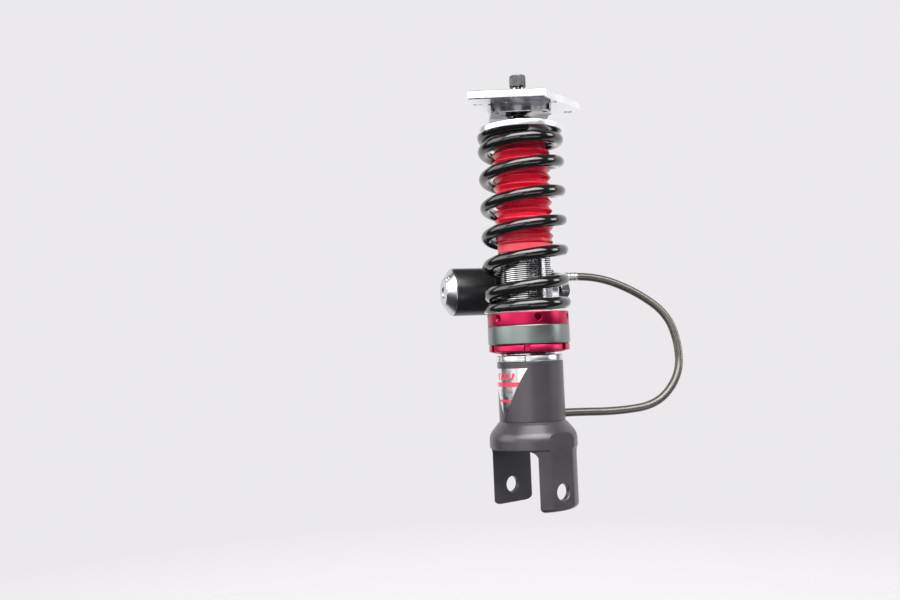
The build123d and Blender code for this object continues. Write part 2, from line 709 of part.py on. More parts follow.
with BuildPart() as reservoir_cap:
    with BuildSketch(Plane(reservoir.origin, x_dir=along, z_dir=-reservoir.y_dir)):
        with BuildLine():
            Polyline((tube_cap_end + 12, 0), (tube_cap_end + 12, reservoir_bore - fit),
                     (tube_cap_end, reservoir_bore - fit), (tube_cap_end, reservoir_radius - 0.3),
                     (tube_cap_end - 1.2, reservoir_radius - 0.3), (tube_cap_end - 1.7, reservoir_radius - 0.8),
                     (tube_cap_end - 8.5, 16.0), (tube_cap_end - 9.5, 15.0), (tube_cap_end - 9.5, 6.0),
                     (tube_cap_end - 8.5, 5.0), (tube_cap_end - 8.5, 0), close=True)
        make_face()
    revolve(axis=Axis(reservoir.origin, along))
    with BuildSketch(on_reservoir(tube_cap_end - 12, fill_height, fill_inward)):
        Circle(fill_radius)
    extrude(amount=24, mode=Mode.SUBTRACT)
finish(reservoir_cap, "reservoir_cap")
make_ring("gas_fill_screw", 0, fill_radius - fit, tube_cap_end - 7.0, tube_cap_end + 4,
          plane=on_reservoir(0, fill_height, fill_inward))

with BuildPart() as reservoir_head:
    with BuildSketch(on_reservoir(tube_head_end - 12)):
        Circle(reservoir_bore - fit)
    extrude(amount=12)
    with BuildSketch(on_reservoir(tube_head_end)):
        Circle(reservoir_radius - 1.2)
    extrude(amount=head_end - tube_head_end)
    end_rim = reservoir_head.faces().sort_by(Axis(reservoir.origin, along))[-1].edges()
    chamfer(end_rim, 1.5)
    with BuildSketch(on_reservoir(tube_head_end - 13)):
        Circle(5.05)
    extrude(amount=40, mode=Mode.SUBTRACT)
    with BuildSketch(on_reservoir(head_end - 10, port_height)):
        Circle(4.0)
    extrude(amount=20, mode=Mode.SUBTRACT)
    with BuildSketch(on_reservoir(tube_head_end - 8)):
        Circle(reservoir_bore + 1)
        Circle(reservoir_bore - groove_depth, mode=Mode.SUBTRACT)
    extrude(amount=groove_width, mode=Mode.SUBTRACT)
finish(reservoir_head, "reservoir_head")
make_o_ring("reservoir_o_ring", reservoir_bore - o_ring_section - 0.1, o_ring_section,
            on_reservoir(tube_head_end - 8 + groove_width / 2))

with BuildPart() as compression_valve:
    with BuildSketch(on_reservoir(tube_head_end - 12)):
        Circle(5.0)
    extrude(amount=head_end - tube_head_end + 12)
    with BuildSketch(on_reservoir(head_end)):
        RegularPolygon(6.5, 6, major_radius=False)
    extrude(amount=4)
    with BuildSketch(on_reservoir(head_end + 4)):
        Circle(4.0)
    extrude(amount=4.6)
finish(compression_valve, "compression_valve")
make_knob("compression_knob", on_reservoir(head_end + 9), 8.4, 11.0, knob_flutes)

piston_place = -8.0
with BuildPart() as floating_piston:
    with BuildSketch(on_reservoir(piston_place)):
        Circle(reservoir_bore - fit)
    extrude(amount=18)
    with BuildSketch(on_reservoir(piston_place - 1)):
        Circle(18.0)
    extrude(amount=12, mode=Mode.SUBTRACT)
    with BuildSketch(on_reservoir(piston_place + 8)):
        Circle(reservoir_bore + 1)
        Circle(reservoir_bore - groove_depth, mode=Mode.SUBTRACT)
    extrude(amount=groove_width, mode=Mode.SUBTRACT)
finish(floating_piston, "floating_piston")
make_o_ring("floating_piston_ring", reservoir_bore - o_ring_section - 0.1, o_ring_section,
            on_reservoir(piston_place + 8 + groove_width / 2))

# hose port, union and ferrule at the reservoir's head
bore_of_fittings = 1.8
ferrule_place = head_end + 17
with BuildPart() as reservoir_union:
    with BuildSketch(on_reservoir(head_end - 8, port_height)):
        Circle(3.95)
    extrude(amount=8)
    with BuildSketch(on_reservoir(head_end, port_height)):
        RegularPolygon(5.6, 6, major_radius=False)
    extrude(amount=8)
    with BuildSketch(on_reservoir(head_end + 8, port_height)):
        Circle(4.0)
    extrude(amount=9)
    with BuildSketch(on_reservoir(head_end - 9, port_height)):
        Circle(bore_of_fittings)
    extrude(amount=40, mode=Mode.SUBTRACT)
finish(reservoir_union, "reservoir_union")


def make_ferrule(label, plane, length):
    """A crimped hose ferrule with two rolled grooves, solid across where the hose is gripped."""
    with BuildPart() as ferrule:
        with BuildSketch(plane):
            Circle(hose_radius + 0.5)
            Circle(bore_of_fittings, mode=Mode.SUBTRACT)
        extrude(amount=length)
        for place in (0.3, 0.62):
            with BuildSketch(plane.offset(place * length)):
                Circle(6.0)
                Circle(4.6, mode=Mode.SUBTRACT)
            extrude(amount=0.1 * length, mode=Mode.SUBTRACT)
    finish(ferrule, label)


make_ferrule("reservoir_ferrule", on_reservoir(ferrule_place, port_height), hose_start - ferrule_place)

# ---- banjo at the fork, hose -----------------------------------------------------------------------
def on_banjo(place):
    """Plane across the hose where it leaves the banjo, at a place along it from the eye's centre."""
    return Plane(origin=outward * banjo_offset + up * port_z + along * place, x_dir=up, z_dir=along)


with BuildPart() as banjo_fitting:
    with BuildSketch(facing_out(banjo_offset - banjo_half, port_z)):
        Circle(9.0)
    extrude(amount=2 * banjo_half)
    chamfer(banjo_fitting.edges().filter_by(GeomType.CIRCLE), 0.8)
    with BuildSketch(on_banjo(neck_start)):
        Circle(3.9)
    extrude(amount=ferrule_start - neck_start)
    with BuildSketch(facing_out(banjo_offset - 6, port_z)):
        Circle(oil_bolt_radius + fit)
    extrude(amount=12, mode=Mode.SUBTRACT)
finish(banjo_fitting, "banjo_fitting")

with BuildPart() as banjo_washers:
    for start in (banjo_seat, banjo_offset + banjo_half):
        with BuildSketch(facing_out(start, port_z)):
            Circle(8.0)
            Circle(oil_bolt_radius + fit, mode=Mode.SUBTRACT)
        extrude(amount=crush_washer)
finish(banjo_washers, "banjo_washers")

banjo_head = banjo_offset + banjo_half + crush_washer
with BuildPart() as banjo_bolt:
    with BuildSketch(facing_out(body_bore + 0.6, port_z)):
        Circle(oil_bolt_radius)
    extrude(amount=banjo_head - body_bore - 0.6)
    with BuildSketch(facing_out(banjo_head, port_z)):
        RegularPolygon(7.0, 6, major_radius=False)
    extrude(amount=6)
    with BuildSketch(facing_out(body_bore, port_z)):
        Circle(2.5)
    extrude(amount=banjo_offset - body_bore + 2, mode=Mode.SUBTRACT)
finish(banjo_bolt, "banjo_bolt")

make_ferrule("banjo_ferrule", on_banjo(ferrule_start), hose_end - ferrule_start)

points = [Vector(*point) for point in hose_route]
runs = [after - before for before, after in zip(points, points[1:])]
radii = []
for before, after in zip(runs, runs[1:]):
    half_turn = radians(before.get_angle(after)) / 2
    shorter = min(before.length, after.length)
    radii.append(0.45 * shorter * cos(half_turn) / sin(half_turn))
print("hose runs", [round(run.length, 1) for run in runs])
print("hose radii", [round(radius, 1) for radius in radii])
with BuildPart() as oil_hose:
    with BuildLine() as route:
        FilletPolyline(*points, radius=radii)
    with BuildSketch(Plane(origin=points[0], z_dir=runs[0])):
        Circle(hose_radius)
    sweep(path=route.wire())
print("hose length", round(route.wire().length, 1), "volume ratio",
      round(oil_hose.part.volume / (pi * hose_radius ** 2 * route.wire().length), 4))
finish(oil_hose, "oil_hose")

# ---- reservoir bracket and clamps --------------------------------------------------------------------
bracket_thickness = 4.0
with BuildPart() as reservoir_bracket:
    with BuildSketch(Plane(origin=(0, 0, 0), x_dir=outward, z_dir=along)):
        with BuildLine() as bend:
            FilletPolyline((34.0, 92.0), (34.0, 125.0), (reservoir_offset, 152.0), (reservoir_offset, 175.0),
                           radius=6.0)
        trace(bend.wire(), line_width=bracket_thickness)
    extrude(amount=23, both=True)
    with BuildSketch(facing_out(20, 0)):
        with BuildLine():
            Polyline((-10, 91), (10, 91), (10, 126), (17.5, 150), (17.5, 176), (-21.5, 176), (-21.5, 150),
                     (-10, 126), close=True)
        make_face()
    extrude(amount=80, mode=Mode.INTERSECT)
    with BuildSketch(facing_out(28, bracket_screw_height)):
        with Locations(*bracket_screws_at):
            Circle(bracket_screw_radius + 0.2)
    extrude(amount=12, mode=Mode.SUBTRACT)
    with BuildSketch(facing_out(reservoir_offset - 8, clamp_screw_height)):
        with Locations(*[(-place, 0) for place in clamp_places]):
            Circle(clamp_screw_radius + 0.1)
    extrude(amount=16, mode=Mode.SUBTRACT)
finish(reservoir_bracket, "reservoir_bracket")

screw_start = 26.6
bracket_face = 34.0 + bracket_thickness / 2
with BuildPart() as bracket_screws:
    with BuildSketch(facing_out(screw_start, bracket_screw_height)):
        with Locations(*bracket_screws_at):
            Circle(bracket_screw_radius)
    extrude(amount=bracket_face - screw_start)
    with BuildSketch(facing_out(bracket_face, bracket_screw_height)):
        with Locations(*bracket_screws_at):
            Circle(5.0)
            RegularPolygon(2.5, 6, major_radius=False, mode=Mode.SUBTRACT)
    extrude(amount=6)
finish(bracket_screws, "bracket_screws")

band_wall = 1.5
with BuildPart() as reservoir_clamps:
    for place in clamp_places:
        with BuildSketch(on_reservoir(place - 6)):
            Circle(reservoir_radius + band_wall)
            with Locations((-reservoir_radius - 8, 0)):
                Rectangle(17, bracket_thickness + 2 * band_wall)
            Circle(reservoir_radius, mode=Mode.SUBTRACT)
            with Locations((-reservoir_radius - 8, 0)):
                Rectangle(20, bracket_thickness, mode=Mode.SUBTRACT)
        extrude(amount=12)
    with BuildSketch(facing_out(reservoir_offset - 8, clamp_screw_height)):
        with Locations(*[(-place, 0) for place in clamp_places]):
            Circle(clamp_screw_radius + 0.1)
    extrude(amount=16, mode=Mode.SUBTRACT)
finish(reservoir_clamps, "reservoir_clamps")

clamp_face = bracket_thickness / 2 + band_wall
with BuildPart() as clamp_screws:
    with BuildSketch(facing_out(reservoir_offset - clamp_face - 6, clamp_screw_height)):
        with Locations(*[(-place, 0) for place in clamp_places]):
            Circle(clamp_screw_radius)
    extrude(amount=2 * clamp_face + 6)
    with BuildSketch(facing_out(reservoir_offset + clamp_face, clamp_screw_height)):
        with Locations(*[(-place, 0) for place in clamp_places]):
            Circle(4.25)
            RegularPolygon(2.0, 6, major_radius=False, mode=Mode.SUBTRACT)
    extrude(amount=5)
finish(clamp_screws, "clamp_screws")

with BuildPart() as clamp_nuts:
    with BuildSketch(facing_out(reservoir_offset - clamp_face - 4, clamp_screw_height)):
        with Locations(*[(-place, 0) for place in clamp_places]):
            RegularPolygon(4.0, 6, major_radius=False)
            Circle(clamp_screw_radius + fit, mode=Mode.SUBTRACT)
    extrude(amount=4)
finish(clamp_nuts, "clamp_nuts")
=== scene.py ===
"""Looks of the coilover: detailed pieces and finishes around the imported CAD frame, in metres."""
import json
from math import atan2, cos, hypot, pi, radians, sin, tan

import bmesh
import bpy
from mathutils import Matrix, Quaternion, Vector

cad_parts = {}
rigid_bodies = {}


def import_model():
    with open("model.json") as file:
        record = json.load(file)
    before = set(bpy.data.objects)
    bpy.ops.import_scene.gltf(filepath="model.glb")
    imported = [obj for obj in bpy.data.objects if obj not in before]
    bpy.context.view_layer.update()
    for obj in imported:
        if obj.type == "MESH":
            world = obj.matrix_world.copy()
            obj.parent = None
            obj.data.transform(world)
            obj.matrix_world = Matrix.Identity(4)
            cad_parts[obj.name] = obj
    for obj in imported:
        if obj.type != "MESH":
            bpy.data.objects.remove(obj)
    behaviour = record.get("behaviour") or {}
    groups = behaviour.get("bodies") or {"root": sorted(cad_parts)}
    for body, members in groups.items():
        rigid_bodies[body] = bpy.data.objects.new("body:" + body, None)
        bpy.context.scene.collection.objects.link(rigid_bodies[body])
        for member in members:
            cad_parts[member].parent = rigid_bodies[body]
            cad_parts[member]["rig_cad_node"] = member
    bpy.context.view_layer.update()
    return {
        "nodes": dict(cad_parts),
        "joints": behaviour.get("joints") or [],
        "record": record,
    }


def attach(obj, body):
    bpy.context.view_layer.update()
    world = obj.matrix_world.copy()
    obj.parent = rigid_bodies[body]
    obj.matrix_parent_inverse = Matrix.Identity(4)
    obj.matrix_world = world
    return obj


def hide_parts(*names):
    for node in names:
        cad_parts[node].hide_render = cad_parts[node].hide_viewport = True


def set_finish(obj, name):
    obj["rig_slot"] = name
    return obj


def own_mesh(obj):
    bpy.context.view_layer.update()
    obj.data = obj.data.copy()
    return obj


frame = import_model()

mm = 0.001
turn = 2 * pi
nodes = frame["nodes"]
joints = {joint["name"]: joint for joint in frame["joints"]}
bodies = frame["record"]["behaviour"]["bodies"]
body_of = {node: body for body, members in bodies.items() for node in members}
slot_of = {part["node"]: part["material_slot"] for part in frame["record"]["subparts"]}
mount_turn = radians(53.7)      # the top mount, from +X
rod_nut_turn = radians(19.7)

# ---- camera --------------------------------------------------------------------------------------
camera_place = Vector((0.6541, -0.5791, 0.1435))
camera_heading = Vector((-0.8056, 0.5924, tan(radians(3.28))))
camera_roll = radians(-2.27)
camera = bpy.data.objects.new("camera", bpy.data.cameras.new("camera"))
bpy.context.scene.collection.objects.link(camera)
camera.data.lens = 34
camera.data.sensor_width = 36
camera.data.clip_start = 0.01
camera.location = camera_place
camera.rotation_mode = "QUATERNION"
camera.rotation_quaternion = (camera_heading.to_track_quat("-Z", "Y")
                              @ Quaternion((0, 0, 1), camera_roll))
bpy.context.scene.camera = camera


# ---- measuring the frame -------------------------------------------------------------------------
def axis_place(origin, axis):
    """Matrix whose Z axis runs along axis through origin, with its X axis as level as it can be."""
    along = Vector(axis).normalized()
    side = Vector((0, 0, 1)).cross(along)
    side = side.normalized() if side.length > 0.01 else Vector((1, 0, 0))
    turned = Matrix((side, along.cross(side), along)).transposed().to_4x4()
    return Matrix.Translation(origin) @ turned


upright = Matrix.Identity(4)
knob_turn = joints["compression_click"]
reservoir = axis_place(knob_turn["pos_m"], knob_turn["axis"])


def measure(node, place=upright):
    """Lowest and highest place of a CAD node along an axis, and its greatest radius about it."""
    inverse = place.inverted()
    points = [inverse @ vertex.co for vertex in nodes[node].data.vertices]
    heights = [point.z for point in points]
    return min(heights), max(heights), max(hypot(point.x, point.y) for point in points)


def through(node, like):
    """The matrix moved sideways, so that its Z axis goes through the middle of a CAD node."""
    inverse = like.inverted()
    points = [inverse @ vertex.co for vertex in nodes[node].data.vertices]
    middle = [(min(p[axis] for p in points) + max(p[axis] for p in points)) / 2 for axis in (0, 1)]
    return like @ Matrix.Translation((middle[0], middle[1], 0))


# ---- making pieces -------------------------------------------------------------------------------
def settle(piece, stands_for):
    """Put a piece on the body and in the material slot of the CAD node that it stands for."""
    bpy.context.scene.collection.objects.link(piece)
    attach(piece, body_of[stands_for])
    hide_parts(stands_for)
    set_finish(piece, slot_of[stands_for])
    return piece


def skin(name, rows, stands_for, closed=False, sharp=30, uv_scale=None):
    """A piece over rows of points that go round; closed joins the last row to the first.

    uv_scale, the length of a step between rows, adds a UV map.
    """
    count = len(rows[0])
    points = [point for row in rows for point in row]
    faces, uvs = [], []
    last = len(rows) if closed else len(rows) - 1
    for row in range(last):
        above = (row + 1) % len(rows)
        for column in range(count):
            following = (column + 1) % count
            faces.append((row * count + column, row * count + following,
                          above * count + following, above * count + column))
            if uv_scale:
                left, right = column / count, (column + 1) / count
                low, high = row * uv_scale, (row + 1) * uv_scale
                uvs += [(low, left), (low, right), (high, right), (high, left)]
    mesh = bpy.data.meshes.new(name)
    mesh.from_pydata(points, [], faces)
    if uv_scale:
        layer = mesh.uv_layers.new(name="UVMap")
        for loop, uv in zip(layer.data, uvs):
            loop.uv = uv
    finish_mesh(mesh, sharp)
    return settle(bpy.data.objects.new(name, mesh), stands_for)


def finish_mesh(mesh, sharp=30):
    """Weld doubled points, close open ends, point the faces outward and smooth all but sharp edges."""
    shell = bmesh.new()
    shell.from_mesh(mesh)
    bmesh.ops.remove_doubles(shell, verts=shell.verts, dist=0.002 * mm)
    ends = [edge for edge in shell.edges if edge.is_boundary]
    if ends:
        bmesh.ops.holes_fill(shell, edges=ends, sides=0)
    bmesh.ops.recalc_face_normals(shell, faces=shell.faces)
    shell.to_mesh(mesh)
    shell.free()
    mesh.shade_smooth()
    mesh.set_sharp_from_angle(angle=radians(sharp))


def evenly(steps, start=0.0):
    return [start + turn * step / steps for step in range(steps)]


def ring(place, angles, radius, height):
    """A row of points about the Z axis of place; radius is a number, or a list with one for each angle."""
    radii = radius if isinstance(radius, list) else [radius] * len(angles)
    return [place @ Vector((r * cos(a), r * sin(a), height)) for a, r in zip(angles, radii)]


def turned(name, profile, stands_for, place=upright, angles=None, closed=True, sharp=30):
    """A turned piece: profile holds (radius, height), a radius may be a list over the angles."""
    angles = angles or evenly(160)
    rows = [ring(place, angles, radius, height) for radius, height in profile]
    return skin(name, rows, stands_for, closed=closed, sharp=sharp)


def rounded(corners, steps=4):
    """A closed outline with round corners, from (radius, height, fillet)."""
    outline = []
    for index, (x, z, fillet) in enumerate(corners):
        corner = Vector((x, z))
        before = Vector(corners[index - 1][:2]) - corner
        after = Vector(corners[(index + 1) % len(corners)][:2]) - corner
        if fillet == 0 or before.length == 0 or after.length == 0:
            outline.append((x, z))
            continue
        half = before.angle(after) / 2
        reach = min(fillet / tan(half), 0.49 * before.length, 0.49 * after.length)
        start, end = corner + before.normalized() * reach, corner + after.normalized() * reach
        for step in range(steps + 1):
            share = step / steps
            # quadratic curve through the corner's two tangent points
            point = start * (1 - share) ** 2 + corner * 2 * share * (1 - share) + end * share ** 2
            outline.append((point.x, point.y))
    return outline


def hexagon(across_flats, angles, turned_by=0.0):
    """Radius of a hexagon at each angle."""
    sixth = turn / 6
    return [across_flats / 2 / cos((angle - turned_by + sixth / 2) % sixth - sixth / 2) for angle in angles]


def limited(radii, limit):
    return [min(radius, limit) for radius in radii]


def lessened(radii, amount):
    return [radius - amount for radius in radii]


def bored(piece, cutters):
    """Cut other meshes out of a piece."""
    for cutter in cutters:
        cut = piece.modifiers.new("cut", "BOOLEAN")
        cut.operation = "DIFFERENCE"
        cut.solver = "EXACT"
        cut.object = cutter
    bpy.context.view_layer.update()
    graph = bpy.context.evaluated_depsgraph_get()
    mesh = bpy.data.meshes.new_from_object(piece.evaluated_get(graph))
    piece.modifiers.clear()
    piece.data = mesh
    finish_mesh(mesh)
    for cutter in cutters:
        bpy.data.objects.remove(cutter)


def cutter(rows):
    """A bare mesh object over rows of points, for cutting."""
    count = len(rows[0])
    faces = []
    for row in range(len(rows) - 1):
        for column in range(count):
            following = (column + 1) % count
            faces.append((row * count + column, row * count + following,
                          (row + 1) * count + following, (row + 1) * count + column))
    mesh = bpy.data.meshes.new("cutter")
    mesh.from_pydata([point for row in rows for point in row], [], faces)
    finish_mesh(mesh)
    tool = bpy.data.objects.new("cutter", mesh)
    bpy.context.scene.collection.objects.link(tool)
    return tool


# ---- oil hose ------------------------------------------------------------------------------------
hose_radius = 4.5 * mm
hose_route = [
    (-38.48, 110.53, 219.7), (-29.18, 134.38, 219.7), (-4.8, 169.9, 201.0), (18.0, 195.2, 174.0),
    (28.5, 199.6, 139.0), (33.5, 192.2, 104.0), (25.3, 163.9, 73.0), (5.0, 119.7, 68.0),
    (-15.42, 74.7, 70.0), (-27.77, 43.03, 70.0),
]


def smooth_route(points):
    """Points along a NURBS curve that has the given control points."""
    curve = bpy.data.curves.new("route", "CURVE")
    curve.dimensions = "3D"
    spline = curve.splines.new("NURBS")
    spline.points.add(len(points) - 1)
    for knot, point in zip(spline.points, points):
        knot.co = (*(value * mm for value in point), 1)
    spline.order_u = 3
    spline.use_endpoint_u = True
    spline.resolution_u = 32
    carrier = bpy.data.objects.new("route", curve)
    bpy.context.scene.collection.objects.link(carrier)
    bpy.context.view_layer.update()
    line = bpy.data.meshes.new_from_object(carrier)
    places = [vertex.co.copy() for vertex in line.vertices]
    bpy.data.objects.remove(carrier)
    return places


def tube_rows(places, radius, columns):
    """Rings square to a path, each turned as little as possible from the one before."""
    rows = []
    side = None
    for index, place in enumerate(places):
        ahead = places[min(index + 1, len(places) - 1)] - places[max(index - 1, 0)]
        ahead.normalize()
        side = side or Vector((0, 0, 1)).cross(ahead)
        side = (side - ahead * side.dot(ahead)).normalized()
        other = ahead.cross(side)
        rows.append([place + (side * cos(angle) + other * sin(angle)) * radius for angle in evenly(columns)])
    return rows


hose_path = smooth_route(hose_route)
hose_step = sum((b - a).length for a, b in zip(hose_path, hose_path[1:])) / (len(hose_path) - 1)
hose = skin("smoked_hose", tube_rows(hose_path, hose_radius, 32), "oil_hose", uv_scale=hose_step)


def make_ferrule(name, node):
    """A crimped ferrule: a rolled lip at each end and two pressed grooves, eight-sided between them."""
    place = through(node, reservoir)
    start, end, outer = measure(node, place)
    length = end - start
    angles = evenly(64)
    pressed = [outer - 0.35 * mm * (0.5 + 0.5 * cos(8 * angle)) for angle in angles]
    bore = hose_radius - 0.6 * mm
    profile = [(bore, start), (outer - 0.5 * mm, start), (outer, start + 0.5 * mm)]
    for share in (0.30, 0.62):
        groove = start + share * length
        groove_end = groove + 0.1 * length
        profile += [(outer, groove - 0.6 * mm), (lessened(pressed, 0.35 * mm), groove),
                    (lessened(pressed, 0.35 * mm), groove_end), (outer, groove_end + 0.6 * mm)]
    profile += [(outer, end - 0.9 * mm), (outer - 0.2 * mm, end - 0.25 * mm), (outer - 0.5 * mm, end),
                (bore, end)]
    return turned(name, profile, node, place, angles)


reservoir_ferrule = make_ferrule("ferrule_at_reservoir", "reservoir_ferrule")
banjo_ferrule = make_ferrule("ferrule_at_banjo", "banjo_ferrule")


# ---- coil spring ---------------------------------------------------------------------------------
wire_radius = 6 * mm
spring_turns = 7.65
closed_turns = 0.75
ease_turns = 0.9
closed_pitch = 11.7 * mm
ground_depth = 2 * mm
spring_start = radians(97.7)
spring_bottom, spring_top, spring_outer = measure("coil_spring")
spring_radius = spring_outer - wire_radius
total_rise = spring_top - spring_bottom + 2 * ground_depth
extra_pitch = (total_rise - closed_pitch * spring_turns) / (spring_turns - 2 * closed_turns - ease_turns)


def wire_height(at):
    """Height of the wire's centre: closed at the ends, even between, and eased from one to the other."""
    if at > spring_turns / 2:
        return spring_bottom + spring_top - wire_height(spring_turns - at)
    eased = min(max(at - closed_turns, 0), ease_turns)
    free = max(at - closed_turns - ease_turns, 0)
    opened = eased ** 2 / (2 * ease_turns) + free
    return spring_bottom - ground_depth + closed_pitch * at + extra_pitch * opened


def make_spring():
    """A round wire wound into a spring, its ends cut square with broken edges and ground flat."""
    steps = int(spring_turns * 110)
    break_edge = 1.0 * mm
    end_share = break_edge / (turn * spring_radius) / spring_turns
    shares = [(0, 1.0), (0.35 * end_share, 0.45), (end_share, 0)]
    stations = [(share, break_edge * missing) for share, missing in shares]
    stations += [(step / steps, 0) for step in range(1, steps)]
    stations += [(1 - share, missing) for share, missing in reversed(stations[:3])]
    rows = []
    for share, missing in stations:
        angle = spring_start + turn * spring_turns * share
        out = Vector((cos(angle), sin(angle), 0))
        centre = out * spring_radius + Vector((0, 0, wire_height(spring_turns * share)))
        row = []
        for around in evenly(36):
            reach = wire_radius - missing
            point = centre + out * reach * cos(around) + Vector((0, 0, reach * sin(around)))
            point.z = min(max(point.z, spring_bottom), spring_top)
            row.append(point)
        rows.append(row)
    piece = skin("spring_wire", rows, "coil_spring", sharp=40)
    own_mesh(piece)


make_spring()


# ---- bellows and its cup -------------------------------------------------------------------------
boot_folds = 10
boot_wall = 1.2 * mm
boot_pitch = 8.6 * mm
first_fold = 4.9 * mm
valley_depth = 3.9 * mm


def fold(crest, height):
    """Outline corners of one fold: a straight flank up, a narrow lip with a bead, a straight flank down."""
    return [(crest - 0.55 * mm, height - 1.1 * mm, 0.4 * mm),
            (crest - 0.1 * mm, height - 0.6 * mm, 0.25 * mm),
            (crest, height, 0.3 * mm),
            (crest - 0.2 * mm, height + 0.55 * mm, 0.25 * mm)]


def make_bellows():
    """Moulded bellows: narrow lips, straight flanks, tight valleys; the inside repeats the outside."""
    bottom, top, crest = measure("dust_boot")
    valley = crest - valley_depth
    outer = [(valley, bottom, 0.0)]
    first = bottom + first_fold
    for index in range(boot_folds):
        middle = first + index * boot_pitch
        outer += [(valley, middle - boot_pitch / 2, 0.5 * mm)] if index else []
        outer += fold(crest, middle)
    outer += [(valley, first + (boot_folds - 0.5) * boot_pitch, 0.5 * mm), (valley, top, 0.3 * mm)]
    inner = [(radius - boot_wall, height, fillet) for radius, height, fillet in reversed(outer)]
    piece = turned("bellows", rounded(outer + inner, 3), "dust_boot", sharp=50)
    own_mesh(piece)


cup_height = 7.9 * mm
band_radius = 27.9 * mm
cuff_radius = 27.65 * mm


def make_cup():
    """Foot of the bellows, in two pieces: the plain band, and the ribbed cuff over the rim of the body."""
    bottom, top, crest = measure("boot_cup")
    bore = measure("damper_tube")[2] + 0.05 * mm
    seam = bottom + cup_height
    corners = [(bore, bottom, 0.3 * mm), (band_radius, bottom, 0.9 * mm),
               (band_radius, seam - 0.1 * mm, 0.5 * mm), (bore, seam - 0.1 * mm, 0.2 * mm)]
    turned("boot_band", rounded(corners), "boot_cup")
    valley = crest - valley_depth
    rib = cuff_radius + 1.4 * mm
    corners = [(bore, seam, 0.2 * mm), (cuff_radius - 0.3 * mm, seam, 0.15 * mm),
               (cuff_radius, seam + 0.7 * mm, 0.2 * mm),
               (rib, seam + 1.7 * mm, 0.4 * mm), (rib, seam + 2.8 * mm, 0.4 * mm),
               (cuff_radius, seam + 3.9 * mm, 0.4 * mm), (cuff_radius, seam + 5.0 * mm, 0.4 * mm)]
    corners += fold(crest, top - 3.7 * mm)
    corners += [(valley, top, 0.0), (valley - boot_wall, top, 0.0),
                (bore - 1.0 * mm, top - 0.65 * mm, 0.1 * mm), (bore, top - 1.65 * mm, 0.1 * mm)]
    cuff_piece = turned("boot_cuff", rounded(corners), "boot_cup")
    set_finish(cuff_piece, "red_rubber")


make_bellows()
make_cup()


# ---- threaded damper tube ------------------------------------------------------------------------
thread_pitch = 2 * mm
thread_depth = 1.2 * mm
thread_bottom = 127 * mm
thread_top = 237 * mm
thread_rows = ((0.0, 0), (0.40, 0), (0.56, 1), (0.84, 1))   # share of a pitch, share of the depth


def make_threaded_tube():
    """The damper's tube with a right-hand helical thread, run out at both ends."""
    bottom, top, outer = measure("damper_tube")
    bore = measure("piston_band")[2]
    columns = 120
    angles = evenly(columns)
    per_pitch = len(thread_rows)
    thread = []
    for index in range(int((thread_top - thread_bottom) / thread_pitch + 2) * per_pitch):
        share, depth_share = thread_rows[index % per_pitch]
        row = []
        for column, angle in enumerate(angles):
            pitches = index // per_pitch + share + column / columns - 1
            height = min(max(thread_bottom + pitches * thread_pitch, thread_bottom), thread_top)
            run_out = min(height - thread_bottom, thread_top - height) / thread_pitch
            radius = outer - thread_depth * depth_share * min(max(run_out, 0), 1)
            row.append(Vector((radius * cos(angle), radius * sin(angle), height)))
        thread.append(row)
    below = [(bore, bottom), (outer - 0.5 * mm, bottom), (outer, bottom + 0.5 * mm),
             (outer, thread_bottom)]
    above = [(outer, thread_top), (outer, top - 1.0 * mm), (outer - 1.0 * mm, top), (bore, top)]
    rows = [ring(upright, angles, *corner) for corner in below] + thread
    rows += [ring(upright, angles, *corner) for corner in above]
    first, last = len(below), len(below) + len(thread) - 1
    faces = []
    for row in range(len(rows)):
        above_row = (row + 1) % len(rows)
        threaded = first <= row < last
        for column in range(columns):
            following = (column + 1) % columns
            # at the seam each row of the thread meets the row one pitch on
            shift = per_pitch if threaded and following == 0 else 0
            low = min(row + shift, last) if threaded else row
            high = min(above_row + shift, last) if threaded else above_row
            faces.append((row * columns + column, low * columns + following,
                          high * columns + following, above_row * columns + column))
    mesh = bpy.data.meshes.new("threaded_tube")
    mesh.from_pydata([point for row in rows for point in row], [], faces)
    finish_mesh(mesh, 25)
    settle(bpy.data.objects.new("threaded_tube", mesh), "damper_tube")


make_threaded_tube()


# ---- rings on the thread -------------------------------------------------------------------------
hook_slots = 6
hook_slot_width = 6 * mm
hook_slot_start = radians(-44.3)


def slotted_rim(outer, depth, soft):
    """Angles round a ring with hook slots, and the radius at each, with the slots' corners broken."""
    half = hook_slot_width / 2 / outer
    corner = soft / outer
    slot_floor = outer - depth
    shape = [(-half - corner, outer), (-half, outer - soft), (-half + 0.1 * corner, slot_floor + soft),
             (-half + corner, slot_floor), (0, slot_floor), (half - corner, slot_floor),
             (half - 0.1 * corner, slot_floor + soft), (half, outer - soft), (half + corner, outer)]
    angles, radii = [], []
    plain = 22
    for slot in range(hook_slots):
        middle = hook_slot_start + turn * slot / hook_slots
        angles += [middle + angle for angle, radius in shape]
        radii += [radius for angle, radius in shape]
        gap = turn / hook_slots - 2 * (half + corner)
        for step in range(1, plain):
            angles.append(middle + half + corner + gap * step / plain)
            radii.append(outer)
    return angles, radii


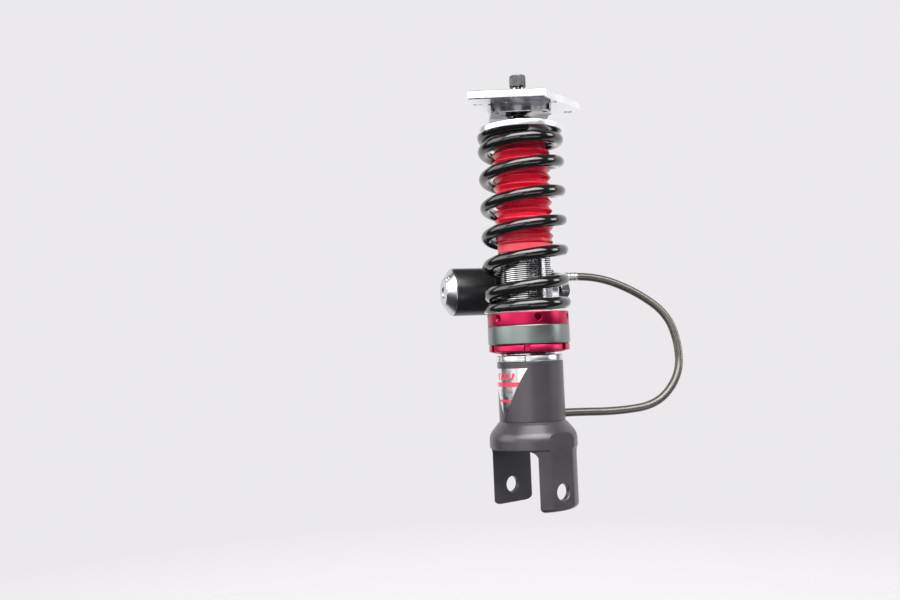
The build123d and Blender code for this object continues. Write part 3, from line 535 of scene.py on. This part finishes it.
def make_hook_ring(name, node, slot_depth, low_bevel, high_bevel):
    """A lock ring with slots for a hook spanner; a bevel is its width and height, and edges are softened."""
    bottom, top, outer = measure(node)
    bore = measure("damper_tube")[2] + 0.05 * mm
    soft = 0.35 * mm
    angles, rim = slotted_rim(outer, slot_depth, soft)
    low_width, low_height = low_bevel
    high_width, high_height = high_bevel
    profile = [
        (bore, bottom + 0.8 * mm), (bore + 0.8 * mm, bottom),
        (limited(rim, outer - low_width - soft), bottom),
        (limited(rim, outer - low_width + soft), bottom + 0.1 * mm),
        (limited(rim, outer - soft), bottom + low_height - 0.12 * mm), (rim, bottom + low_height + soft),
        (rim, top - high_height - 0.8 * soft), (limited(rim, outer - 0.15 * mm), top - high_height),
        (limited(rim, outer - high_width), top - 0.6 * soft),
        (limited(rim, outer - high_width - soft), top),
        (bore + 0.8 * mm, top), (bore, top - 0.8 * mm),
    ]
    turned(name, profile, node, angles=angles)


def make_collar():
    """The plain grey collar, with its edges broken."""
    bottom, top, outer = measure("spring_collar")
    bore = measure("damper_tube")[2] + 0.05 * mm
    corners = [(bore, bottom, 0.6 * mm), (outer - 0.3 * mm, bottom, 0.3 * mm),
               (outer, bottom + 0.9 * mm, 0.4 * mm), (outer, top - 0.8 * mm, 0.4 * mm),
               (outer - 0.6 * mm, top, 0.3 * mm), (bore, top, 0.6 * mm)]
    turned("collar", rounded(corners), "spring_collar", angles=evenly(200))


pin_holes = 6
pin_hole_radius = 3.4 * mm
pin_hole_start = radians(-27.3)
pin_hole_height = 7.4 * mm
pin_hole_floor = 32 * mm


def make_perch_ring():
    """The upper red ring, with tapped radial holes for a pin spanner."""
    bottom, top, outer = measure("upper_perch_ring")
    bore = measure("damper_tube")[2] + 0.05 * mm
    corners = [(bore, bottom, 0.6 * mm), (outer, bottom, 0.8 * mm), (outer, top, 0.9 * mm),
               (bore, top, 0.6 * mm)]
    piece = turned("perch_ring", rounded(corners), "upper_perch_ring", angles=evenly(300))
    cutters = []
    for hole in range(pin_holes):
        angle = pin_hole_start + turn * hole / pin_holes
        out = Vector((cos(angle), sin(angle), 0))
        place = axis_place(Vector((0, 0, bottom + pin_hole_height)), out)
        profile = [(0, pin_hole_floor), (0.8 * pin_hole_radius, pin_hole_floor)]
        for tap_turn in range(9):
            height = pin_hole_floor + (0.6 + tap_turn) * mm
            profile += [(pin_hole_radius - 0.35 * mm, height - 0.3 * mm),
                        (pin_hole_radius, height + 0.2 * mm)]
        past_rim = outer + 0.45 * mm
        profile += [(pin_hole_radius, outer - 0.45 * mm), (pin_hole_radius + 0.9 * mm, past_rim),
                    (0, past_rim)]
        cutters.append(cutter([ring(place, evenly(48), radius, height) for radius, height in profile]))
    bored(piece, cutters)


make_hook_ring("fork_ring", "fork_lock_ring", slot_depth=2.2 * mm,
               low_bevel=(0.6 * mm, 0.6 * mm), high_bevel=(0.4 * mm, 0.4 * mm))
make_hook_ring("lock_ring", "lower_lock_ring", slot_depth=3.2 * mm,
               low_bevel=(7.5 * mm, 2.0 * mm), high_bevel=(1.0 * mm, 1.6 * mm))
make_collar()
make_perch_ring()


# ---- spring seat, nuts and knobs -----------------------------------------------------------------
def make_upper_seat():
    """The turned aluminium seat on top of the spring, with its pilot and the bellows' spigot."""
    bottom, top, outer = measure("upper_spring_seat")
    flange_bottom = spring_top
    groove = measure("seat_nut")[2] + 4 * mm      # turned round the nut
    neck = 6.05 * mm
    rod_fit = 7.05 * mm
    shoulder = top - 8 * mm
    pilot = 31.8 * mm
    spigot = 24.3 * mm
    spigot_bore = 20.5 * mm
    corners = [
        (neck, top, 0.2 * mm), (groove, top, 0), (groove + 0.4 * mm, top - 0.4 * mm, 0.1 * mm),
        (groove + 1.2 * mm, top - 0.4 * mm, 0.1 * mm), (groove + 1.6 * mm, top, 0.1 * mm),
        (outer, top, 1.0 * mm), (outer, flange_bottom, 0.7 * mm), (pilot, flange_bottom, 0.2 * mm),
        (pilot, flange_bottom - 4 * mm, 0.6 * mm), (spigot, flange_bottom - 4 * mm, 0.2 * mm),
        (spigot, bottom, 0.6 * mm), (spigot_bore, bottom, 0.4 * mm),
        (spigot_bore, bottom + 7.6 * mm, 0.2 * mm),
        (rod_fit, bottom + 7.6 * mm, 0.2 * mm), (rod_fit, shoulder, 0), (neck, shoulder, 0),
    ]
    turned("spring_seat", rounded(corners), "upper_spring_seat", angles=evenly(200))


def make_hex_nut(name, node, across_flats, bore, height, place=upright, turned_by=0.0, neck=None):
    """A hexagon with coned corners, and a round neck above it if neck gives its radius."""
    bottom, top, outer = measure(node, place)
    angles = evenly(96, turned_by)
    flats = hexagon(across_flats, angles, turned_by)
    corner = across_flats / 2 / cos(pi / 6)
    cone = across_flats / 2 * 0.96
    hex_top = bottom + height
    slope = (corner - cone) * 0.55
    soft = limited(flats, corner - 0.25 * mm)
    profile = [(bore, bottom), (cone, bottom), (limited(flats, (cone + corner) / 2), bottom + slope / 2),
               (soft, bottom + slope), (soft, hex_top - slope),
               (limited(flats, (cone + corner) / 2), hex_top - slope / 2), (cone, hex_top)]
    if neck:
        profile += [(neck + 0.4 * mm, hex_top), (neck, hex_top + 0.4 * mm), (neck, top - 0.3 * mm),
                    (neck - 0.3 * mm, top)]
    profile.append((bore, profile[-1][1]))
    return turned(name, profile, node, place, angles, closed=True, sharp=20)


def make_knob(name, node, place):
    """A knob with fine flutes, turned bands at both ends, a domed edge and a hexagon socket."""
    bottom, top, outer = measure(node, place)
    flutes = 30
    angles = evenly(flutes * 8)
    fluted = [outer - 0.55 * mm * (0.5 - 0.5 * cos(flutes * angle)) ** 0.8 for angle in angles]
    socket = hexagon(5 * mm, angles)
    band = 1.6 * mm
    profile = [(0, bottom), (outer - 0.9 * mm, bottom), (outer - 0.3 * mm, bottom + 0.3 * mm),
               (outer - 0.1 * mm, bottom + 0.9 * mm), (outer - 0.1 * mm, bottom + band),
               (limited(fluted, outer - 0.1 * mm), bottom + band + 0.2 * mm),
               (fluted, bottom + band + 0.5 * mm), (fluted, top - band - 0.5 * mm),
               (limited(fluted, outer - 0.1 * mm), top - band - 0.2 * mm), (outer - 0.1 * mm, top - band),
               (outer - 0.1 * mm, top - 1.0 * mm), (outer - 0.4 * mm, top - 0.45 * mm),
               (outer - 1.0 * mm, top - 0.1 * mm), (outer - 1.8 * mm, top),
               (3.3 * mm, top), (limited(socket, 3.1 * mm), top - 0.3 * mm), (socket, top - 0.6 * mm),
               (socket, top - 3.2 * mm), (0, top - 3.8 * mm)]
    turned(name, profile, node, place, angles, closed=False)


make_upper_seat()
make_hex_nut("seat_hex_nut", "seat_nut", 25 * mm, 6.05 * mm, 9 * mm,
             turned_by=mount_turn + pi / 6, neck=8.2 * mm)
make_hex_nut("rod_hex_nut", "rod_nut", 18 * mm, 6.05 * mm, 9.5 * mm, turned_by=rod_nut_turn)
make_knob("rebound_dial", "rebound_knob", upright)
make_knob("compression_dial", "compression_knob", reservoir)
make_hex_nut("union_hex", "reservoir_union", 11.2 * mm, 1.8 * mm, 8 * mm,
             place=through("reservoir_ferrule", reservoir), neck=4 * mm)


# ---- remote reservoir ----------------------------------------------------------------------------
def make_reservoir():
    """Tube with broken edges, and a coned end cap with a turned centre and the gas fill screw."""
    start, end, outer = measure("reservoir_tube", reservoir)
    bore = measure("floating_piston", reservoir)[2] + 0.05 * mm
    corners = [(bore, start, 0.2 * mm), (outer, start, 0.7 * mm), (outer, end, 0.7 * mm),
               (bore, end, 0.2 * mm)]
    turned("reservoir_body", rounded(corners), "reservoir_tube", reservoir, evenly(200))

    cap_start, cap_end, cap_radius = measure("reservoir_cap", reservoir)
    disc = 15 * mm
    recess = 6 * mm
    profile = rounded([
        (cap_radius, start, 0.1 * mm), (cap_radius, start - 1.2 * mm, 0.35 * mm),
        (cap_radius - 0.7 * mm, start - 1.9 * mm, 0.3 * mm),
        (disc + 1.0 * mm, cap_start + 1.0 * mm, 0.2 * mm), (disc + 0.2 * mm, cap_start + 0.9 * mm, 0.2 * mm),
        (disc, cap_start, 0.3 * mm), (recess + 0.6 * mm, cap_start, 0.2 * mm),
        (recess, cap_start + 0.9 * mm, 0.2 * mm)])
    plug = bore - 0.05 * mm
    profile = [(0, cap_end), (plug, cap_end), (plug, start)] + profile + [(0, cap_start + 1.0 * mm)]
    cap = turned("reservoir_end_cap", profile, "reservoir_cap", reservoir, evenly(200), closed=False)
    screw_place = through("gas_fill_screw", reservoir)
    screw_start, screw_end, screw_radius = measure("gas_fill_screw", screw_place)
    well = screw_radius + 0.1 * mm
    wells = [(0, cap_start - 2 * mm), (well + 0.6 * mm, cap_start - 2 * mm),
             (well + 0.6 * mm, screw_start - 0.9 * mm),
             (well, screw_start - 0.3 * mm), (well, screw_end + 0.2 * mm), (0, screw_end + 0.2 * mm)]
    bored(cap, [cutter([ring(screw_place, evenly(40), radius, height) for radius, height in wells])])
    angles = evenly(48)
    socket = hexagon(2.5 * mm, angles)
    profile = [(0, screw_end), (screw_radius, screw_end), (screw_radius, screw_start + 0.4 * mm),
               (screw_radius - 0.4 * mm, screw_start), (1.7 * mm, screw_start),
               (socket, screw_start + 0.3 * mm), (socket, screw_start + 1.6 * mm),
               (0, screw_start + 2 * mm)]
    turned("fill_screw", profile, "gas_fill_screw", screw_place, angles, closed=False)


make_reservoir()


# ---- finishes ------------------------------------------------------------------------------------
def begin(slot):
    """A new material, its node tree and its surface shader."""
    material = bpy.data.materials.new(slot)
    material.use_nodes = True
    tree = material.node_tree
    return material, tree, tree.nodes["Principled BSDF"]


def put(tree, kind, inputs, output=0, **settings):
    """Add a node. inputs maps a socket to a value, or to another node's output; gives one of its outputs."""
    node = tree.nodes.new("ShaderNode" + kind)
    for name, value in settings.items():
        setattr(node, name, value)
    for socket, value in inputs.items():
        if isinstance(value, bpy.types.NodeSocket):
            tree.links.new(value, node.inputs[socket])
        else:
            node.inputs[socket].default_value = value
    return node.outputs[output]


def calculate(tree, operation, *values):
    return put(tree, "Math", dict(enumerate(values)), operation=operation)


def noise(tree, where, scale, detail=2.0, roughness=0.5):
    return put(tree, "TexNoise", {"Vector": where, "Scale": scale, "Detail": detail, "Roughness": roughness})


def spread(tree, value, low, high, from_low=0.35, from_high=0.65):
    """Map a value from one range to another, held at the ends."""
    return put(tree, "MapRange", {"Value": value, "From Min": from_low, "From Max": from_high,
                                  "To Min": low, "To Max": high})


def mixed(tree, factor, first, second):
    """A colour between two, where factor goes from 0 to 1."""
    first, second = ((*colour, 1) if isinstance(colour, tuple) else colour for colour in (first, second))
    return put(tree, "Mix", {0: factor, 6: first, 7: second}, output=2, data_type="RGBA")


def edges(tree, soft):
    """Normal with softened edges, and how near an edge is, from 0 to 1."""
    smooth = put(tree, "Bevel", {"Radius": soft}, samples=6)
    plain = put(tree, "NewGeometry", {}, output="Normal")
    agreement = put(tree, "VectorMath", {0: smooth, 1: plain}, output="Value", operation="DOT_PRODUCT")
    return smooth, spread(tree, agreement, 1, 0, 0.75, 0.98)


def about_axis(tree, where, place):
    """Distance along a matrix's Z axis, and out from it."""
    origin, along = place.translation, place.to_3x3().col[2]
    offset = put(tree, "VectorMath", {0: where, 1: tuple(origin)}, operation="SUBTRACT")
    height = put(tree, "VectorMath", {0: offset, 1: tuple(along)}, output="Value", operation="DOT_PRODUCT")
    level = put(tree, "VectorMath", {0: tuple(along), "Scale": height}, operation="SCALE")
    sideways = put(tree, "VectorMath", {0: offset, 1: level}, operation="SUBTRACT")
    return height, put(tree, "VectorMath", {0: sideways}, output="Value", operation="LENGTH")


def set_surface(surface, **values):
    for name, value in values.items():
        socket = surface.inputs[name.replace("_", " ")]
        socket.default_value = (*value, 1) if isinstance(value, tuple) and len(value) == 3 else value


def metal(slot, colour, roughness, place=upright, line_depth=0.012, coat=0.0, coat_roughness=0.1, soft=0.3,
          bright=1.25, wave=0.0, groove=None):
    """Turned or machined metal: fine lines round an axis, faint clouds, edges painted a little brighter as a
    painted highlight.

    wave is the depth of slow waves in mm. groove, two radii, darkens what lies between them, as painted
    shade in the roots of a thread.
    """
    material, tree, surface = begin(slot)
    where = put(tree, "TexCoord", {}, output="Object")
    height, out = about_axis(tree, where, place)
    line_place = put(tree, "CombineXYZ", {"X": height, "Y": out})
    lines = noise(tree, line_place, 5200, 3.0, 0.6)
    cloud = noise(tree, where, 45, 4.0, 0.6)
    specks = noise(tree, where, 900, 3.0, 0.7)
    normal, edge = edges(tree, soft * mm)
    dark = tuple(value * 0.90 for value in colour)
    light = tuple(min(value * bright + 0.01, 1.0) for value in colour)
    base = mixed(tree, spread(tree, cloud, 0, 1), dark, colour)
    # painted highlight: edges made lighter in colour, by the factor bright
    base = mixed(tree, calculate(tree, "MULTIPLY", edge, 0.5), base, light)
    if groove:
        # painted shade: between the groove radii the colour is made nearly black
        base = mixed(tree, spread(tree, out, 1, 0, *groove), base, tuple(value * 0.04 for value in colour))
    tree.links.new(base, surface.inputs["Base Color"])
    rough = calculate(tree, "ADD", spread(tree, cloud, roughness * 0.85, roughness * 1.1),
                      spread(tree, lines, -0.04, 0.05))
    rough = calculate(tree, "ADD", rough, spread(tree, specks, -0.01, 0.02))
    tree.links.new(rough, surface.inputs["Roughness"])
    bump = put(tree, "Bump", {"Height": lines, "Strength": 1.0, "Distance": line_depth * mm,
                              "Normal": normal})
    if wave:
        slow = noise(tree, where, 42, 1.0, 0.4)
        bump = put(tree, "Bump", {"Height": slow, "Strength": 1.0, "Distance": wave * mm, "Normal": bump})
    tree.links.new(bump, surface.inputs["Normal"])
    set_surface(surface, Metallic=1.0, Coat_Weight=coat, Coat_Roughness=coat_roughness)
    return material


def coating(slot, colour, roughness, grain=0.02, grain_scale=1100, coat=0.0, coat_roughness=0.08,
            soft=0.4, sheen=0.0, specular=0.5, edge_light=0.35):
    """Paint, powder coat, moulded plastic or rubber: grain in bump and gloss, edges painted a little lighter
    as a painted highlight.
    """
    material, tree, surface = begin(slot)
    where = put(tree, "TexCoord", {}, output="Object")
    cloud = noise(tree, where, 38, 4.0, 0.6)
    fine = noise(tree, where, grain_scale, 2.0, 0.5)
    dust = noise(tree, where, 2600, 1.0, 0.4)
    normal, edge = edges(tree, soft * mm)
    dark = tuple(value * 0.86 for value in colour)
    light = tuple(min(value * 1.5 + 0.03, 1.0) for value in colour)
    base = mixed(tree, spread(tree, cloud, 0, 1), dark, colour)
    # painted highlight: edges made lighter in colour, by edge_light and varied by the grain
    painted_edge_highlight = calculate(tree, "MULTIPLY", edge, spread(tree, fine, 0.3 * edge_light, edge_light))
    base = mixed(tree, painted_edge_highlight, base, light)
    base = mixed(tree, spread(tree, dust, 0, 0.25, 0.68, 0.80), base, light)
    tree.links.new(base, surface.inputs["Base Color"])
    rough = calculate(tree, "ADD", spread(tree, cloud, roughness * 0.88, roughness * 1.1),
                      spread(tree, fine, -0.03, 0.04))
    tree.links.new(rough, surface.inputs["Roughness"])
    bump = put(tree, "Bump", {"Height": fine, "Strength": 1.0, "Distance": grain * mm, "Normal": normal})
    tree.links.new(bump, surface.inputs["Normal"])
    set_surface(surface, Metallic=0.0, Coat_Weight=coat, Coat_Roughness=coat_roughness,
                Sheen_Weight=sheen, Specular_IOR_Level=specular)
    return material


def between(tree, value, low, high):
    """1 where a value is between two others, else 0."""
    return calculate(tree, "MULTIPLY", calculate(tree, "GREATER_THAN", value, low),
                     calculate(tree, "LESS_THAN", value, high))


label_middle = radians(-94)       # from +X, as the CAD label is


def foil(slot):
    """Printed silver foil: plain red bars and bands and thin grey rules, on a faintly wrinkled mirror."""
    material, tree, surface = begin(slot)
    where = put(tree, "TexCoord", {}, output="Object")
    split = tree.nodes.new("ShaderNodeSeparateXYZ")
    tree.links.new(where, split.inputs[0])
    across = put(tree, "VectorMath", {0: where, 1: (-sin(label_middle), cos(label_middle), 0)},
                 output="Value", operation="DOT_PRODUCT")
    height = split.outputs["Z"]
    slant = calculate(tree, "ADD", across, calculate(tree, "MULTIPLY", height, -0.45))
    bars = calculate(tree, "GREATER_THAN", calculate(tree, "PINGPONG", slant, 2.6 * mm), 1.1 * mm)
    bars = calculate(tree, "MULTIPLY", bars, between(tree, height, 110 * mm, 117 * mm))
    bars = calculate(tree, "MULTIPLY", bars, between(tree, across, -14 * mm, 14 * mm))
    red = bars
    for low, high in ((103.4, 107.8), (88.2, 90.6)):
        red = calculate(tree, "MAXIMUM", red, between(tree, height, low * mm, high * mm))
    rules = calculate(tree, "GREATER_THAN", calculate(tree, "PINGPONG", height, 0.9 * mm), 0.6 * mm)
    rules = calculate(tree, "MULTIPLY", rules, between(tree, height, 93 * mm, 100.5 * mm))
    rules = calculate(tree, "MULTIPLY", rules, between(tree, across, -7 * mm, 7 * mm))
    silver, ink, grey = (0.80, 0.80, 0.82), (0.72, 0.060, 0.11), (0.16, 0.16, 0.18)
    base = mixed(tree, rules, mixed(tree, red, silver, ink), grey)
    tree.links.new(base, surface.inputs["Base Color"])
    printed = calculate(tree, "MAXIMUM", red, rules)
    tree.links.new(calculate(tree, "SUBTRACT", 1.0, calculate(tree, "MULTIPLY", printed, 0.75)),
                   surface.inputs["Metallic"])
    wrinkle = noise(tree, where, 160, 3.0, 0.6)
    tree.links.new(spread(tree, wrinkle, 0.14, 0.26), surface.inputs["Roughness"])
    tree.links.new(put(tree, "Bump", {"Height": wrinkle, "Strength": 1.0, "Distance": 0.05 * mm}),
                   surface.inputs["Normal"])
    return material


def braid(slot):
    """Steel braid seen through a smoked plastic cover: two sets of strands that cross, under a clear coat."""
    material, tree, surface = begin(slot)
    place = tree.nodes.new("ShaderNodeSeparateXYZ")
    tree.links.new(put(tree, "TexCoord", {}, output="UV"), place.inputs[0])
    along, around = place.outputs["X"], place.outputs["Y"]
    carriers = 12
    lay = 26 * mm
    strands = []
    for way in (1, -1):
        spiral = calculate(tree, "ADD", calculate(tree, "MULTIPLY", along, way * carriers / lay),
                           calculate(tree, "MULTIPLY", around, carriers))
        strands.append(calculate(tree, "PINGPONG", spiral, 0.5))
    height = calculate(tree, "MULTIPLY", *strands)
    threads = calculate(tree, "PINGPONG", calculate(tree, "MULTIPLY", strands[0], 8.0), 0.5)
    height = calculate(tree, "ADD", height, calculate(tree, "MULTIPLY", threads, 0.12))
    smoke, steel = (0.030, 0.026, 0.022), (0.15, 0.13, 0.11)
    cloud = noise(tree, put(tree, "TexCoord", {}, output="Object"), 70, 3.0, 0.6)
    base = mixed(tree, spread(tree, height, 0, 1, 0.02, 0.24), smoke, steel)
    base = mixed(tree, spread(tree, cloud, 0, 0.35), base, smoke)
    tree.links.new(base, surface.inputs["Base Color"])
    tree.links.new(spread(tree, cloud, 0.36, 0.5), surface.inputs["Roughness"])
    tree.links.new(put(tree, "Bump", {"Height": height, "Strength": 1.0, "Distance": 0.25 * mm}),
                   surface.inputs["Normal"])
    set_surface(surface, Metallic=0.25, Coat_Weight=1.0, Coat_Roughness=0.07)
    return material


# colour and roughness, then what differs from the usual
coatings = {
    "fork_coat": ((0.036, 0.033, 0.039), 0.34, dict(grain=0.004, grain_scale=1300, soft=0.6, specular=0.7,
                                                    edge_light=0.25)),
    "nylon": ((0.70, 0.68, 0.62), 0.45, {}),
    "spring_coat": ((0.0070, 0.0070, 0.0075), 0.12, dict(grain=0.004, grain_scale=700, coat=0.6,
                                                         coat_roughness=0.05, edge_light=0.15)),
    "seal_rubber": ((0.02, 0.02, 0.021), 0.55, {}),
    "red_cup": ((0.95, 0.075, 0.115), 0.40, dict(grain=0.008, grain_scale=1500)),
    "red_rubber": ((0.82, 0.010, 0.042), 0.30, dict(grain=0.008, grain_scale=1500, coat=0.3,
                                                    coat_roughness=0.2)),
    "bump_foam": ((0.72, 0.58, 0.20), 0.8, dict(grain=0.12, grain_scale=1400)),
    "reservoir_black": ((0.014, 0.014, 0.016), 0.30, dict(grain=0.006, grain_scale=1500)),
}
metals = {
    "zinc_plate": ((0.70, 0.70, 0.72), 0.30, {}),
    "red_anodise": ((0.52, 0.010, 0.075), 0.36, dict(coat=0.2, coat_roughness=0.25)),
    "grey_anodise": ((0.24, 0.275, 0.262), 0.36, dict(coat=0.15, coat_roughness=0.3)),
    "steel": ((0.55, 0.55, 0.57), 0.28, {}),
    "plain_aluminium": ((0.74, 0.74, 0.76), 0.32, {}),
    "hard_chrome": ((0.82, 0.82, 0.84), 0.08, dict(line_depth=0.002)),
    "bright_aluminium": ((0.90, 0.90, 0.92), 0.30, dict(line_depth=0.006)),
    "black_oxide": ((0.07, 0.07, 0.075), 0.34, {}),
    "gunmetal": ((0.22, 0.22, 0.23), 0.10, dict(soft=0.5, wave=2.5)),
    "knob_grey": ((0.13, 0.13, 0.135), 0.34, {}),
    "copper": ((0.78, 0.42, 0.28), 0.30, {}),
    # its groove radii are the thread's roots, painted dark as painted shade
    "thread_plate": ((0.80, 0.80, 0.82), 0.16, dict(groove=(0.0253, 0.0260))),
    "cap_aluminium": ((0.60, 0.60, 0.61), 0.24, dict(place=reservoir, line_depth=0.03)),
}
finishes = {slot: coating(slot, colour, roughness, **others)
            for slot, (colour, roughness, others) in coatings.items()}
finishes |= {slot: metal(slot, colour, roughness, **others)
             for slot, (colour, roughness, others) in metals.items()}
finishes |= {"label_foil": foil("label_foil"), "smoked_braid": braid("smoked_braid")}
own_finish = {"threaded_tube": "thread_plate", "reservoir_end_cap": "cap_aluminium"}


def dress(piece, material):
    """Give a piece one material, in every slot that it has."""
    if piece.data.materials:
        for index in range(len(piece.data.materials)):
            piece.material_slots[index].link = "OBJECT"
            piece.material_slots[index].material = material
    else:
        piece.data.materials.append(material)


for piece in [shown for shown in bpy.context.scene.objects if shown.type == "MESH"]:
    slot = piece.get("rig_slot") or slot_of[piece["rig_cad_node"]]
    dress(piece, finishes[own_finish.get(piece.name, slot)])


# ---- floor and studio light ----------------------------------------------------------------------
object_middle = Vector((0, 0, 0.2))
camera_bearing = atan2(camera_place.y, camera_place.x)
pale = (0.83, 0.815, 0.84)


def make_floor():
    """A pale floor below the part, as it would be under its stand, that fades into the pale background."""
    reach = 2.2
    mesh = bpy.data.meshes.new("floor")
    shell = bmesh.new()
    bmesh.ops.create_circle(shell, cap_ends=True, radius=reach, segments=96)
    shell.to_mesh(mesh)
    shell.free()
    floor_piece = bpy.data.objects.new("floor", mesh)
    bpy.context.scene.collection.objects.link(floor_piece)
    floor_piece.location = (0, 0, -0.42)
    floor_piece.visible_glossy = False
    material, tree, surface = begin("floor")
    where = put(tree, "TexCoord", {}, output="Object")
    out = put(tree, "VectorMath", {0: where}, output="Value", operation="LENGTH")
    grain = noise(tree, where, 220, 3.0, 0.6)
    tree.links.new(mixed(tree, spread(tree, grain, 0, 1), (0.50, 0.49, 0.51), (0.53, 0.52, 0.54)),
                   surface.inputs["Base Color"])
    set_surface(surface, Roughness=0.9, Specular_IOR_Level=0.1)
    clear = tree.nodes.new("ShaderNodeBsdfTransparent")
    fade = tree.nodes.new("ShaderNodeMixShader")
    tree.links.new(spread(tree, out, 0, 1, 0.35, reach * 0.9), fade.inputs[0])
    tree.links.new(surface.outputs[0], fade.inputs[1])
    tree.links.new(clear.outputs[0], fade.inputs[2])
    tree.links.new(fade.outputs[0], tree.nodes["Material Output"].inputs["Surface"])
    mesh.materials.append(material)


def facing_middle(bearing, elevation, distance):
    """Matrix of a panel that faces the object, at a bearing from the camera's own, to the right."""
    heading = camera_bearing + radians(bearing)
    level = cos(radians(elevation))
    out = Vector((cos(heading) * level, sin(heading) * level, sin(radians(elevation))))
    facing = out.to_track_quat("Z", "Y").to_matrix().to_4x4()
    return Matrix.Translation(object_middle + out * distance) @ facing


def softbox(name, bearing, elevation, distance, width, height, radiance):
    light = bpy.data.lights.new(name, "AREA")
    light.shape = "RECTANGLE"
    light.size, light.size_y = width, height
    light.energy = radiance * pi * width * height
    lamp = bpy.data.objects.new(name, light)
    bpy.context.scene.collection.objects.link(lamp)
    lamp.matrix_world = facing_middle(bearing, elevation, distance)
    lamp.visible_camera = False


dim_room = (0.045, 0.045, 0.05)
panel_edge = 2.5                # degrees over which a panel fades
# soft panels round the object, in degrees: bearing from the main camera's, to the right of it, and
# elevation; then radiance and colour
panels = [
    ((-180, -118), (-60, 40), 0.95, (1.0, 0.985, 1.0)),     # the pale backdrop, both sides of the object
    ((104, 180), (-60, 40), 0.95, (1.0, 0.985, 1.0)),
    ((-46, 60), (28, 72), 7.5, (1.0, 1.0, 0.98)),           # broad overhead softbox in front
    ((-98, -50), (2, 44), 2.8, (1.0, 1.0, 1.0)),            # tall softbox on the left
    ((-70, -44), (-12, 11), 0.60, (1.0, 0.99, 0.98)),       # low pale wall to the left of the camera
    ((-44, 2), (-14, 12), 1.7, (1.0, 0.99, 0.98)),          # its lit part
    ((9, 17), (8, 26), 1.6, (1.0, 1.0, 1.0)),
    ((8, 58), (-34, -14), 1.6, (0.93, 0.90, 1.0)),          # table top, right of the camera
    ((78, 96), (4, 30), 6.0, (1.0, 1.0, 1.0)),              # window on the right
]


def make_world():
    """Pale backdrop for the camera; reflections and light come from a dim studio with soft panels."""
    world = bpy.data.worlds.new("studio")
    world.use_nodes = True
    tree = world.node_tree
    direction = put(tree, "TexCoord", {}, output="Generated")
    turned_to_camera = put(tree, "VectorRotate", {"Vector": direction, "Angle": -camera_bearing},
                           rotation_type="Z_AXIS")
    split = tree.nodes.new("ShaderNodeSeparateXYZ")
    tree.links.new(turned_to_camera, split.inputs[0])
    per_radian = 180 / pi
    about_z = calculate(tree, "ARCTAN2", split.outputs["Y"], split.outputs["X"])
    bearing = calculate(tree, "MULTIPLY", about_z, per_radian)
    elevation = calculate(tree, "MULTIPLY", calculate(tree, "ARCSINE", split.outputs["Z"]), per_radian)
    light = dim_room
    for (left, right), (low, high), radiance, tint in panels:
        inside = None
        for angle, first, last in ((bearing, left, right), (elevation, low, high)):
            for edge, way in ((first, 1), (last, -1)):
                if abs(edge) == 180:
                    continue    # panels go on across the line straight behind the object
                share = spread(tree, angle, 0.5 - 0.5 * way, 0.5 + 0.5 * way,
                               edge - panel_edge, edge + panel_edge)
                inside = calculate(tree, "MULTIPLY", inside, share) if inside else share
        shine = tuple(radiance * value for value in tint)
        panel = put(tree, "VectorMath", {0: shine, "Scale": inside}, operation="SCALE")
        light = put(tree, "VectorMath", {0: light, 1: panel}, operation="ADD")
    seen = put(tree, "LightPath", {}, output="Is Camera Ray")
    background = tree.nodes["Background"]
    tree.links.new(mixed(tree, seen, light, pale), background.inputs["Color"])
    bpy.context.scene.world = world


make_floor()
make_world()
softbox("key", bearing=12, elevation=54, distance=1.9, width=0.9, height=0.5, radiance=3.0)
bpy.context.scene.view_settings.view_transform = "Standard"
